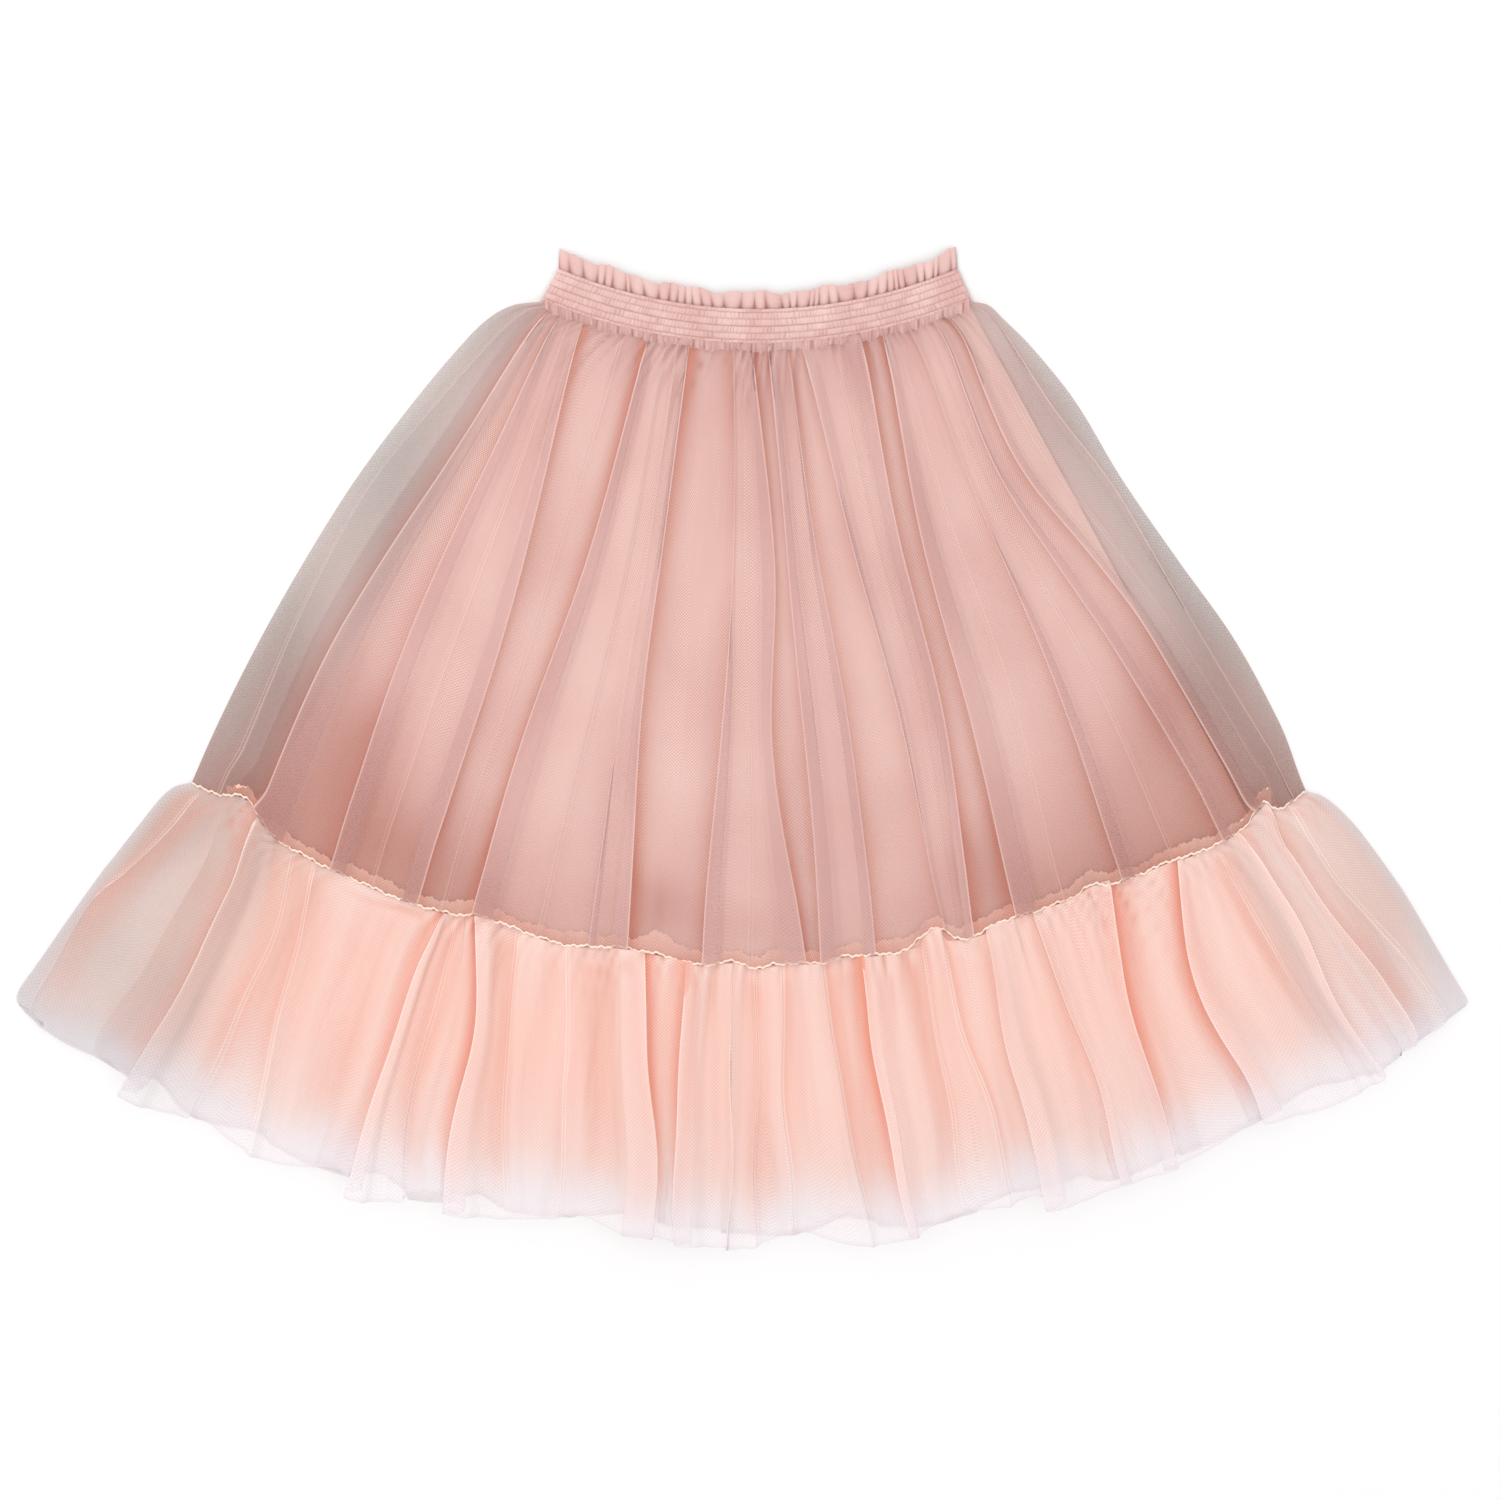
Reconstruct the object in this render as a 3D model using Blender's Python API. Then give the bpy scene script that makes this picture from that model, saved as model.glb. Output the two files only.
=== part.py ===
"""A girl's tulle skirt laid flat on its back: a shirred waistband with a frilled heading, a sheer
gathered skirt over a lining, and a gathered two-layer flounce along the hem.

The skirt lies in the XY plane with its waist towards +Y and its right side, as seen from above,
towards +X. Z is up, and the surface it rests on is Z = 0. Sizes are in millimetres and are
turned into metres where the points are made.
"""

import math
from collections import namedtuple

import bmesh
import bpy

MM = 0.001

# Driving sizes, in millimetres.
WAIST_SEAM_Y = 239.8
SKIRT_LENGTH = 365.0
FLOUNCE_DEPTH = 159.0
UNDER_FLOUNCE_DEPTH = 134.0
SEAM_GAP = 0.45
LAYER_GAP = 0.3
THIN_WALL = 1.0
PLEATED_WALL = 1.5

# Heights of the layers where they are sewn together, from the surface up. Each lies 0.3 over the last.
BACK_Z = 0.0
INNER_BACK_Z = BACK_Z + THIN_WALL + LAYER_GAP
INNER_FRONT_Z = INNER_BACK_Z + THIN_WALL + LAYER_GAP
FRONT_Z = INNER_FRONT_Z + THIN_WALL + LAYER_GAP

# How far the loft of the cloth lifts each layer off the one below in the middle of the garment.
INNER_BACK_LOFT = 2.2
INNER_FRONT_LOFT = 4.6
FRONT_LOFT = 8.8
# The loft falls off towards the sides by this power, and is whole by this share of the length.
LOFT_POWER = 2.6
WHOLE_LOFT_FROM = 0.22
# Where across and along the front comes down to its sides, to lie on the back there.
SIDE_DROP_START = 0.93
SIDE_DROP_FROM = 0.1

# A section across the garment: an arc that dips in the middle. along is its share of the panel's
# length, left and right are how far its ends lie from X = 0, and lift is how far they lie above
# its middle.
Section = namedtuple("Section", "along left right lift")

SKIRT_SECTIONS = (
    Section(0.00, 120, 139, 26),
    Section(0.05, 137, 149, 42),
    Section(0.10, 152, 158, 52),
    Section(0.16, 168, 174, 58),
    Section(0.27, 195, 200, 66),
    Section(0.44, 231, 229, 80),
    Section(0.59, 261, 262, 87),
    Section(0.74, 288, 296, 94),
    Section(0.89, 313, 323, 99),
    Section(1.00, 329, 339, 102),
)
FLOUNCE_SECTIONS = (
    Section(0.00, 329, 339, 102),
    Section(0.06, 341, 349, 108),
    Section(0.15, 353, 361, 111),
    Section(0.50, 386, 394, 124),
    Section(1.00, 436, 436, 131),
)

# The straight sides of the two inner layers: how far each lies from X = 0 at the height of the
# waist's corners, and how far it spreads for each millimetre below them.
INNER_TOP_Y = WAIST_SEAM_Y + 26.0
InnerSide = namedtuple("InnerSide", "at_waist flare")
INNER_LEFT = InnerSide(117, 0.57)
INNER_RIGHT = InnerSide(136, 0.55)
HALVINGS = 24

# The waistband: its two edges, and the ribs that the rows of elastic raise between them.
BAND_HEIGHT = 21.0
BAND_Y = WAIST_SEAM_Y + SEAM_GAP
BAND_BOTTOM = Section(0.0, 119.7, 138.7, 26)
BAND_TOP = Section(1.0, 109, 130, 24.3)
BAND_WALL = 1.9
BAND_THICKNESS = FRONT_Z + PLEATED_WALL
BAND_RIBS = 4
RIB_RISE = 0.9
RIB_ROWS = 3
BAND_COLUMNS = 18
# The ribs and the frill's waves fade towards the sides by these powers of the share across.
BAND_END_POWER = 8
FRILL_END_POWER = 12

# The heading above the top row of elastic, whose front stands in small waves.
FRILL_HEIGHT = 9.6
FRILL_Y = BAND_Y + BAND_HEIGHT + SEAM_GAP
FRILL_BASE = Section(0.0, 109, 130, 24.3)
FRILL_TOP = Section(1.0, 108.5, 129, 27)
FRILL_WALL = 1.2
FRILL_THICKNESS = 2 * FRILL_WALL + LAYER_GAP
FRILL_WAVES = 32
FRILL_WAVE_RISE = 1.2
FRILL_WAVE_AT_BASE = 0.6
POINTS_PER_FRILL_WAVE = 4
FRILL_BACK_COLUMNS = 16

# A fold of the gathered cloth: where its crest crosses the top, the upper third, the lower third
# and the foot of its panel, its height near the top and at the foot, and the side its steep face
# is on, +1 for the right.
Fold = namedtuple("Fold", "top upper lower foot rise_top rise_foot steep")

SKIRT_FOLDS = (
    Fold(-117, -204, -263, -312, 3.0, 3.0, -1),
    Fold(-111, -180, -241, -291, 4.0, 5.0, -1),
    Fold(-105, -158, -202, -249, 4.5, 4.0, 1),
    Fold(-99, -141, -180, -221, 3.5, 3.0, -1),
    Fold(-93, -123, -154, -192, 5.0, 4.5, 1),
    Fold(-78, -108, -144, -180, 3.5, 3.0, -1),
    Fold(-58, -88, -126, -166, 5.0, 6.0, 1),
    Fold(-44, -68, -96, -124, 4.0, 3.5, 1),
    Fold(-37, -55, -75, -93, 3.5, 3.0, -1),
    Fold(-30, -46, -60, -67, 5.5, 5.5, 1),
    Fold(-15, -24, -30, -45, 3.0, 2.5, -1),
    Fold(-2, -4, -12, -23, 4.5, 5.0, -1),
    Fold(5, 21, 22, 42, 4.5, 4.5, 1),
    Fold(15, 28, 38, 48, 4.0, 4.5, -1),
    Fold(28, 47, 66, 77, 4.0, 2.5, 1),
    Fold(34, 67, 99, 124, 5.0, 6.0, -1),
    Fold(54, 81, 111, 132, 4.0, 4.0, -1),
    Fold(72, 96, 123, 140, 4.5, 5.0, 1),
    Fold(84, 107, 138, 164, 5.0, 6.5, -1),
    Fold(91, 123, 162, 195, 3.5, 3.0, -1),
    Fold(99, 147, 192, 228, 4.5, 5.0, -1),
    Fold(105, 152, 207, 255, 3.5, 3.0, 1),
    Fold(113, 159, 224, 289, 4.5, 4.5, -1),
    Fold(121, 170, 242, 308, 5.0, 5.0, -1),
    Fold(128, 187, 256, 320, 3.5, 3.0, 1),
    Fold(134, 204, 268, 331, 3.0, 3.0, 1),
)
FLOUNCE_FOLDS = (
    Fold(-312, -345, -372, -399, 2.0, 6.0, -1),
    Fold(-290, -322, -346, -373, 3.5, 8.0, 1),
    Fold(-272, -301, -325, -352, 2.5, 6.0, -1),
    Fold(-258, -277, -298, -322, 2.5, 7.0, 1),
    Fold(-237, -252, -270, -288, 2.5, 6.0, -1),
    Fold(-217, -232, -247, -262, 2.5, 7.0, 1),
    Fold(-196, -206, -218, -233, 3.5, 9.0, -1),
    Fold(-177, -184, -192, -204, 2.0, 6.0, 1),
    Fold(-162, -163, -168, -178, 3.5, 9.0, -1),
    Fold(-129, -131, -135, -138, 2.0, 6.0, 1),
    Fold(-99, -100, -102, -103, 2.0, 7.0, -1),
    Fold(-62, -54, -52, -51, 4.0, 9.0, 1),
    Fold(-27, -37, -39, -39, 3.5, 8.0, -1),
    Fold(-3, -4, -4, -4, 2.0, 6.0, 1),
    Fold(23, 25, 25, 22, 2.5, 8.0, -1),
    Fold(47, 54, 63, 72, 2.5, 7.0, -1),
    Fold(73, 72, 84, 96, 4.0, 10.0, 1),
    Fold(96, 105, 112, 121, 2.5, 6.0, -1),
    Fold(117, 128, 142, 157, 3.0, 8.0, 1),
    Fold(132, 142, 158, 177, 2.5, 7.0, -1),
    Fold(165, 181, 203, 228, 3.0, 8.0, -1),
    Fold(216, 229, 243, 261, 4.5, 10.0, 1),
    Fold(246, 260, 279, 308, 3.0, 9.0, 1),
    Fold(276, 299, 332, 368, 3.0, 8.0, -1),
    Fold(302, 335, 361, 385, 3.0, 8.0, -1),
    Fold(322, 352, 385, 415, 2.5, 7.0, -1),
)
# Where along a fold's run its four table columns apply.
FOLD_LEVELS = (0.0, 0.35, 0.66, 1.0)
# The points across one fold, as shares of its half width and of its rise, for a steep right face.
FOLD_PROFILE = ((-1.0, 0.0), (-0.4, 0.8), (0.2, 1.0), (0.9, 0.0))
STEEP_FACE_SHARE = 0.7
STEEPEST_SLOPE = 1.15
# A fold's half width: a share of the room to its neighbours' crests, and no more than the widest.
FOLD_SHARE_OF_GAP = 0.48
WIDEST_FOLD = 13.0
# The folds start at this share of their rise at the waist, and have all of it by this share of
# the length.
FOLD_AT_WAIST = 0.25
FOLD_FREE_FROM = 0.06

# The scallops of the flounce's cut edge, seen from above: where each ends, from X = 0, and how far
# its belly hangs below the line through the notches.
Scallop = namedtuple("Scallop", "start end reach")

FLOUNCE_SCALLOPS = (
    Scallop(-436, -375, 7),
    Scallop(-375, -320, 12),
    Scallop(-320, -238, 14),
    Scallop(-238, -179, 15),
    Scallop(-179, -90, 12),
    Scallop(-90, -42, 12),
    Scallop(-42, 4, 14),
    Scallop(4, 44, 14),
    Scallop(44, 176, 13),
    Scallop(176, 206, 9),
    Scallop(206, 249, 7),
    Scallop(249, 314, 8),
    Scallop(314, 386, 13),
    Scallop(386, 436, 6),
)
SCALLOP_ROUNDNESS = 0.6

# An inner layer: where it starts, how deep it is, the sheer cloth it hangs within, its lowest
# underside, how far its loft and its waves lift it, and whether it has its whole loft at its top.
Inner = namedtuple("Inner", "top_y depth sections outer_depth base_z loft wave_rise full_loft")

FLOUNCE_TOP_Y = WAIST_SEAM_Y - SKIRT_LENGTH - SEAM_GAP
LINING_FRONT = Inner(
    WAIST_SEAM_Y, SKIRT_LENGTH, SKIRT_SECTIONS, SKIRT_LENGTH,
    INNER_FRONT_Z, INNER_FRONT_LOFT, 0.0, False,
)
LINING_BACK = LINING_FRONT._replace(base_z=INNER_BACK_Z, loft=INNER_BACK_LOFT)
UNDER_FRONT = Inner(
    FLOUNCE_TOP_Y, UNDER_FLOUNCE_DEPTH, FLOUNCE_SECTIONS, FLOUNCE_DEPTH,
    INNER_FRONT_Z, INNER_FRONT_LOFT, 3.4, True,
)
UNDER_BACK = UNDER_FRONT._replace(base_z=INNER_BACK_Z, loft=INNER_BACK_LOFT, wave_rise=1.8)
POINTS_PER_UNDER_WAVE = 4

# Rows of points down each panel, as shares of its length.
SKIRT_ROWS = (0.0, 0.03, 0.08, 0.16, 0.30, 0.46, 0.62, 0.78, 0.92, 1.0)
FLOUNCE_ROWS = (0.0, 0.07, 0.22, 0.48, 0.76, 1.0)
SKIRT_BACK_COLUMNS = 28
FLOUNCE_BACK_COLUMNS = 56

TULLE_PINK = (0.83, 0.66, 0.64)
FLOUNCE_PINK = (0.93, 0.76, 0.71)
LINING_PEACH = (0.86, 0.52, 0.42)
BAND_PINK = (0.85, 0.62, 0.58)


def smooth_step(value):
    held = min(1.0, max(0.0, value))
    return held * held * (3 - 2 * held)


def curve_through(xs, ys, x):
    """The height at x of a smooth curve through the points (xs, ys)."""
    x = min(max(x, xs[0]), xs[-1])
    k = max(i for i in range(len(xs) - 1) if xs[i] <= x)
    slopes = []
    for i in (k, k + 1):
        before, after = max(i - 1, 0), min(i + 1, len(xs) - 1)
        slopes.append((ys[after] - ys[before]) / (xs[after] - xs[before]))
    span = xs[k + 1] - xs[k]
    t = (x - xs[k]) / span
    return (
        (2 * t**3 - 3 * t**2 + 1) * ys[k]
        + (t**3 - 2 * t**2 + t) * span * slopes[0]
        + (3 * t**2 - 2 * t**3) * ys[k + 1]
        + (t**3 - t**2) * span * slopes[1]
    )


def section_at(sections, along):
    """The section at this share of a panel's length."""
    alongs = [section.along for section in sections]
    sizes = [
        curve_through(alongs, [section[i] for section in sections], along)
        for i in (1, 2, 3)
    ]
    return Section(along, *sizes)


def arc_of(section):
    """The half chord, radius and centre X of a section's arc."""
    half = (section.left + section.right) / 2
    radius = (half**2 + section.lift**2) / (2 * section.lift)
    return half, radius, (section.right - section.left) / 2


def across_of(section, x):
    """The share across a section, from -1 to 1, at which it crosses x."""
    half, radius, middle = arc_of(section)
    return math.asin((x - middle) / radius) / math.asin(half / radius)


def on_section(section, across, middle_y):
    """The X and Y of a section's point at this share across, where its middle lies at middle_y."""
    half, radius, middle = arc_of(section)
    angle = across * math.asin(half / radius)
    return middle + radius * math.sin(angle), middle_y + radius * (1 - math.cos(angle))


def loft_of(across, along):
    """How much of the loft a layer has here: none at its sides or at the waist."""
    return (1 - abs(across) ** LOFT_POWER) * smooth_step(along / WHOLE_LOFT_FROM)


def side_drop(across, along):
    """How far the front comes down at its sides, past the inner layers, to lie on the back."""
    outer_part = smooth_step((abs(across) - SIDE_DROP_START) / (1 - SIDE_DROP_START))
    return (FRONT_Z - INNER_BACK_Z) * outer_part * smooth_step(along / SIDE_DROP_FROM)


def inner_side(section, middle_y, side, flare):
    """The share across at which a section meets an inner layer's straight side."""
    near, far = 0.0, 1.0
    for _ in range(HALVINGS):
        share = (near + far) / 2
        x, y = on_section(section, side * share, middle_y)
        inside = abs(x) < flare.at_waist + flare.flare * (INNER_TOP_Y - y)
        near, far = (share, far) if inside else (near, share)
    return side * near


def column_paths(folds, sections, alongs):
    """For each along, the shares across and the rises of every column of a pleated panel.

    The columns follow the folds, four to a fold, so each crest is a line of points.
    """
    rows = []
    for along in alongs:
        section = section_at(sections, along)
        edge_left = on_section(section, -1, 0)[0]
        edge_right = on_section(section, 1, 0)[0]
        crests = [
            curve_through(FOLD_LEVELS, (f.top, f.upper, f.lower, f.foot), along)
            for f in folds
        ]
        fences = [edge_left, *crests, edge_right]
        row = [(-1.0, 0.0)]
        for fold, crest, before, after in zip(folds, crests, fences, fences[2:]):
            room = FOLD_SHARE_OF_GAP * min(crest - before, after - crest)
            half_width = min(WIDEST_FOLD, room)
            rise = fold.rise_top + (fold.rise_foot - fold.rise_top) * along
            rise = min(rise, STEEPEST_SLOPE * STEEP_FACE_SHARE * half_width)
            profile = FOLD_PROFILE
            if fold.steep < 0:
                profile = [(-offset, share) for offset, share in FOLD_PROFILE[::-1]]
            for offset, share in profile:
                x = crest + offset * half_width
                row.append((across_of(section, x), rise * share))
        row.append((1.0, 0.0))
        rows.append(row)
    return rows


def scallop_at(x):
    """How far the flounce's cut edge hangs below the line through its notches at this X."""
    for scallop in FLOUNCE_SCALLOPS:
        if scallop.start <= x <= scallop.end:
            share = (x - scallop.start) / (scallop.end - scallop.start)
            return scallop.reach * math.sin(math.pi * share) ** SCALLOP_ROUNDNESS
    return 0.0


def make_object(name, bm, material):
    bmesh.ops.recalc_face_normals(bm, faces=bm.faces)
    mesh = bpy.data.meshes.new(name)
    bm.to_mesh(mesh)
    bm.free()
    mesh.materials.append(material)
    obj = bpy.data.objects.new(name, mesh)
    collection.objects.link(obj)
    return obj


def make_wall(name, rows, wall, material):
    """A cloth wall over a grid of points: rows of (x, y, z) for its underside, in millimetres."""
    count, columns = len(rows) - 1, len(rows[0]) - 1
    bm = bmesh.new()
    bmesh.ops.create_grid(bm, x_segments=columns, y_segments=count, size=0.5)
    for vert in bm.verts:
        column = round((vert.co.x + 0.5) * columns)
        row = round((vert.co.y + 0.5) * count)
        vert.co = [MM * value for value in rows[row][column]]
    lifted = bmesh.ops.extrude_face_region(bm, geom=bm.faces[:], use_keep_orig=True)
    copies = [item for item in lifted["geom"] if isinstance(item, bmesh.types.BMVert)]
    bmesh.ops.translate(bm, verts=copies, vec=(0, 0, wall * MM))
    return make_object(name, bm, material)


def front_height(across, loft_along):
    """The underside of the sheer front, before its folds."""
    loft = FRONT_LOFT * loft_of(across, loft_along)
    return FRONT_Z + loft - side_drop(across, loft_along)


def skirt_front(material):
    rows = []
    for along, row in zip(SKIRT_ROWS, column_paths(SKIRT_FOLDS, SKIRT_SECTIONS, SKIRT_ROWS)):
        section = section_at(SKIRT_SECTIONS, along)
        middle_y = WAIST_SEAM_Y - SKIRT_LENGTH * along
        gathered = FOLD_AT_WAIST + (1 - FOLD_AT_WAIST) * smooth_step(along / FOLD_FREE_FROM)
        points = []
        for across, rise in row:
            z = front_height(across, along) + rise * gathered
            points.append((*on_section(section, across, middle_y), z))
        rows.append(points)
    return make_wall("skirt_front", rows, PLEATED_WALL, material)


def skirt_back(material):
    rows = []
    for along in SKIRT_ROWS:
        section = section_at(SKIRT_SECTIONS, along)
        middle_y = WAIST_SEAM_Y - SKIRT_LENGTH * along
        shares = [2 * i / SKIRT_BACK_COLUMNS - 1 for i in range(SKIRT_BACK_COLUMNS + 1)]
        rows.append([(*on_section(section, share, middle_y), BACK_Z) for share in shares])
    return make_wall("skirt_back", rows, THIN_WALL, material)


def flounce_rows(columns, height):
    """Points of an outer flounce, where columns holds each row's shares across and rises."""
    rows = []
    for along, row in zip(FLOUNCE_ROWS, columns):
        section = section_at(FLOUNCE_SECTIONS, along)
        points = []
        for across, rise in row:
            x, y = on_section(section, across, FLOUNCE_TOP_Y - FLOUNCE_DEPTH * along)
            points.append((x, y - scallop_at(x) * along**2, height(across) + rise))
        rows.append(points)
    return rows


def flounce_front(material):
    columns = column_paths(FLOUNCE_FOLDS, FLOUNCE_SECTIONS, FLOUNCE_ROWS)
    rows = flounce_rows(columns, lambda across: front_height(across, 1.0))
    return make_wall("flounce_front", rows, PLEATED_WALL, material)


def flounce_back(material):
    row = [(2 * i / FLOUNCE_BACK_COLUMNS - 1, 0.0) for i in range(FLOUNCE_BACK_COLUMNS + 1)]
    rows = flounce_rows([row] * len(FLOUNCE_ROWS), lambda across: BACK_Z)
    return make_wall("flounce_back", rows, THIN_WALL, material)


def inner_panel(name, layer, columns, row_count, material):
    """A front or back of the lining or the inner flounce. It follows the rows of the sheer cloth
    over it, within the inner layers' own straight sides."""
    rows = []
    for i in range(row_count + 1):
        drop = layer.depth * i / row_count
        middle_y = layer.top_y - drop
        section = section_at(layer.sections, drop / layer.outer_depth)
        left = inner_side(section, middle_y, -1, INNER_LEFT)
        right = inner_side(section, middle_y, 1, INNER_RIGHT)
        points = []
        for j in range(columns + 1):
            share = 2 * j / columns - 1
            across = left + (right - left) * (share + 1) / 2
            wave = 0.5 - 0.5 * math.cos(2 * math.pi * j / POINTS_PER_UNDER_WAVE)
            loft_along = 1.0 if layer.full_loft else drop / layer.outer_depth
            loft = (layer.loft + layer.wave_rise * wave) * loft_of(share, loft_along)
            points.append((*on_section(section, across, middle_y), layer.base_z + loft))
        rows.append(points)
    return make_wall(name, rows, THIN_WALL, material)


def flat_loop(front_columns, back_columns):
    """Round a flattened tube: (share across, whether it is the front) from the left end and back."""
    front = [(2 * i / front_columns - 1, True) for i in range(front_columns + 1)]
    back = [(1 - 2 * i / back_columns, False) for i in range(back_columns + 1)]
    return front + back


def make_tube(name, outer, inner, material):
    """A flattened tube between an outer and an inner list of rings, each from bottom to top."""
    bm = bmesh.new()
    rings = outer + inner[::-1]
    grid = [[bm.verts.new([MM * value for value in point]) for point in ring] for ring in rings]
    for ring, following in zip(grid, grid[1:] + grid[:1]):
        for i, corner in enumerate(ring):
            k = (i + 1) % len(ring)
            bm.faces.new((corner, ring[k], following[k], following[i]))
    return make_object(name, bm, material)


def tube_ring(section, middle_y, inset, thickness, loop, bulge):
    """A ring of a flattened tube: inset moves it into the wall, and bulge lifts its front."""
    points = []
    for i, (share, is_front) in enumerate(loop):
        x, y = on_section(section, share * (1 - inset / section.left), middle_y)
        z = thickness - inset + bulge(i, share) if is_front else inset
        points.append((x, y, z))
    return points


def make_waistband(material):
    loop = flat_loop(BAND_COLUMNS, BAND_COLUMNS)
    outer, inner = [], []
    steps = BAND_RIBS * RIB_ROWS
    for i in range(steps + 1):
        up = i / steps
        section = section_at((BAND_BOTTOM, BAND_TOP), up)
        middle_y = BAND_Y + BAND_HEIGHT * up
        rise = RIB_RISE * abs(math.sin(math.pi * BAND_RIBS * up))
        outer.append(
            tube_ring(
                section, middle_y, 0.0, BAND_THICKNESS, loop,
                lambda _, share: rise * (1 - abs(share) ** BAND_END_POWER),
            )
        )
        if i in (0, steps // 2, steps):
            inner.append(
                tube_ring(section, middle_y, BAND_WALL, BAND_THICKNESS, loop, lambda _, share: 0.0)
            )
    return make_tube("waistband", outer, inner, material)


def make_frill(material):
    """The heading: its front stands in waves, and its back lies flat on the surface."""
    loop = flat_loop(FRILL_WAVES * POINTS_PER_FRILL_WAVE, FRILL_BACK_COLUMNS)
    outer, inner = [], []
    for section in (FRILL_BASE, FRILL_TOP):
        reach = FRILL_WAVE_RISE * (FRILL_WAVE_AT_BASE + (1 - FRILL_WAVE_AT_BASE) * section.along)

        def wave(i, share, reach=reach):
            phase = 2 * math.pi * (i + 0.5) / POINTS_PER_FRILL_WAVE
            return reach * (1 + math.sin(phase)) * (1 - abs(share) ** FRILL_END_POWER)

        middle_y = FRILL_Y + FRILL_HEIGHT * section.along
        outer.append(tube_ring(section, middle_y, 0.0, FRILL_THICKNESS, loop, wave))
        inner.append(tube_ring(section, middle_y, FRILL_WALL, FRILL_THICKNESS, loop, wave))
    return make_tube("waist_frill", outer, inner, material)


def cloth(name, colour, roughness):
    material = bpy.data.materials.new(name)
    material.use_nodes = True
    shader = material.node_tree.nodes["Principled BSDF"]
    shader.inputs["Base Color"].default_value = (*colour, 1.0)
    shader.inputs["Roughness"].default_value = roughness
    shader.inputs["Metallic"].default_value = 0.0
    material.diffuse_color = (*colour, 1.0)
    return material


def build():
    tulle = cloth("tulle", TULLE_PINK, 0.8)
    flounce_tulle = cloth("flounce_tulle", FLOUNCE_PINK, 0.8)
    lining = cloth("lining", LINING_PEACH, 0.7)
    band = cloth("band", BAND_PINK, 0.75)

    make_waistband(band)
    make_frill(band)

    skirt_front(tulle)
    skirt_back(tulle)
    inner_panel("lining_front", LINING_FRONT, columns=24, row_count=6, material=lining)
    inner_panel("lining_back", LINING_BACK, columns=20, row_count=6, material=lining)

    flounce_front(flounce_tulle)
    flounce_back(flounce_tulle)
    inner_panel("under_flounce_front", UNDER_FRONT, columns=56, row_count=5, material=lining)
    inner_panel("under_flounce_back", UNDER_BACK, columns=40, row_count=5, material=lining)


for old in list(bpy.data.objects):
    bpy.data.objects.remove(old, do_unlink=True)
collection = bpy.data.collections.new("tulle_skirt")
bpy.context.scene.collection.children.link(collection)
build()
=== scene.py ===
"""The look of the tulle skirt: sheer gathered cloth over a peach lining, laid flat and seen from above.

Sizes are in millimetres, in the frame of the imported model: X across the skirt, Y towards the
waist, Z up from the surface. They become metres where a mesh is made.
"""

import math
from collections import namedtuple

import bpy
import numpy as np
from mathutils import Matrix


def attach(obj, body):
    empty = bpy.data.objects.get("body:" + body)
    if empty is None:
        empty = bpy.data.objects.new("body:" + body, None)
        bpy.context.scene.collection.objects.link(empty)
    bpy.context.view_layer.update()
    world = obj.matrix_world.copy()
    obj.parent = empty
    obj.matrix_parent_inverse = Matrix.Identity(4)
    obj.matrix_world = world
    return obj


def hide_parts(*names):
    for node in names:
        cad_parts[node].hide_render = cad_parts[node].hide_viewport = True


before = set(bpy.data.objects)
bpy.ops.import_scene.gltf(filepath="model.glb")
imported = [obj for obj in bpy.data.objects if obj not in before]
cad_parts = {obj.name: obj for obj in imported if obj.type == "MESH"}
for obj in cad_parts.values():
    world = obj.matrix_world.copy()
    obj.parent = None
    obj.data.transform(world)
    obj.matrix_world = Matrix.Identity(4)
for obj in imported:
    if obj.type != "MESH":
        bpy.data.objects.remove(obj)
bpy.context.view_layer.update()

MM = 0.001
SEED = 7


def table(kind, rows):
    """A table whose rows are of one named kind."""
    return tuple(kind(*row) for row in rows)


# Driving sizes, as in the solids.
WAIST_SEAM_Y = 239.8
SKIRT_LENGTH = 365.0
FLOUNCE_DEPTH = 159.0
INNER_FLOUNCE_DEPTH = 134.0
SEAM_GAP = 0.45
BAND_HEIGHT = 21.0
BAND_THICKNESS = 5.4
FRILL_HEIGHT = 9.6
FRILL_THICKNESS = 2.7
FLOUNCE_TOP_Y = WAIST_SEAM_Y - SKIRT_LENGTH - SEAM_GAP
BAND_Y = WAIST_SEAM_Y + SEAM_GAP
FRILL_Y = BAND_Y + BAND_HEIGHT

# The heights of the layers where they are sewn together, and how far each is lofted mid-way.
Layer = namedtuple("Layer", "base loft")
BACK = Layer(0.15, 0.0)
INNER_BACK = Layer(1.3, 2.2)
INNER_FRONT = Layer(2.6, 4.6)
FRONT = Layer(3.9, 8.8)
LOFT_POWER = 2.6
WHOLE_LOFT_FROM = 0.22
SIDE_DROP_START = 0.93
SIDE_DROP_FROM = 0.1

# A section across the garment: an arc that dips in the middle. along is its share of the panel's
# length, left and right are how far its ends lie from X = 0, and lift is how far they lie above
# its middle.
Section = namedtuple("Section", "along left right lift")

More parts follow.
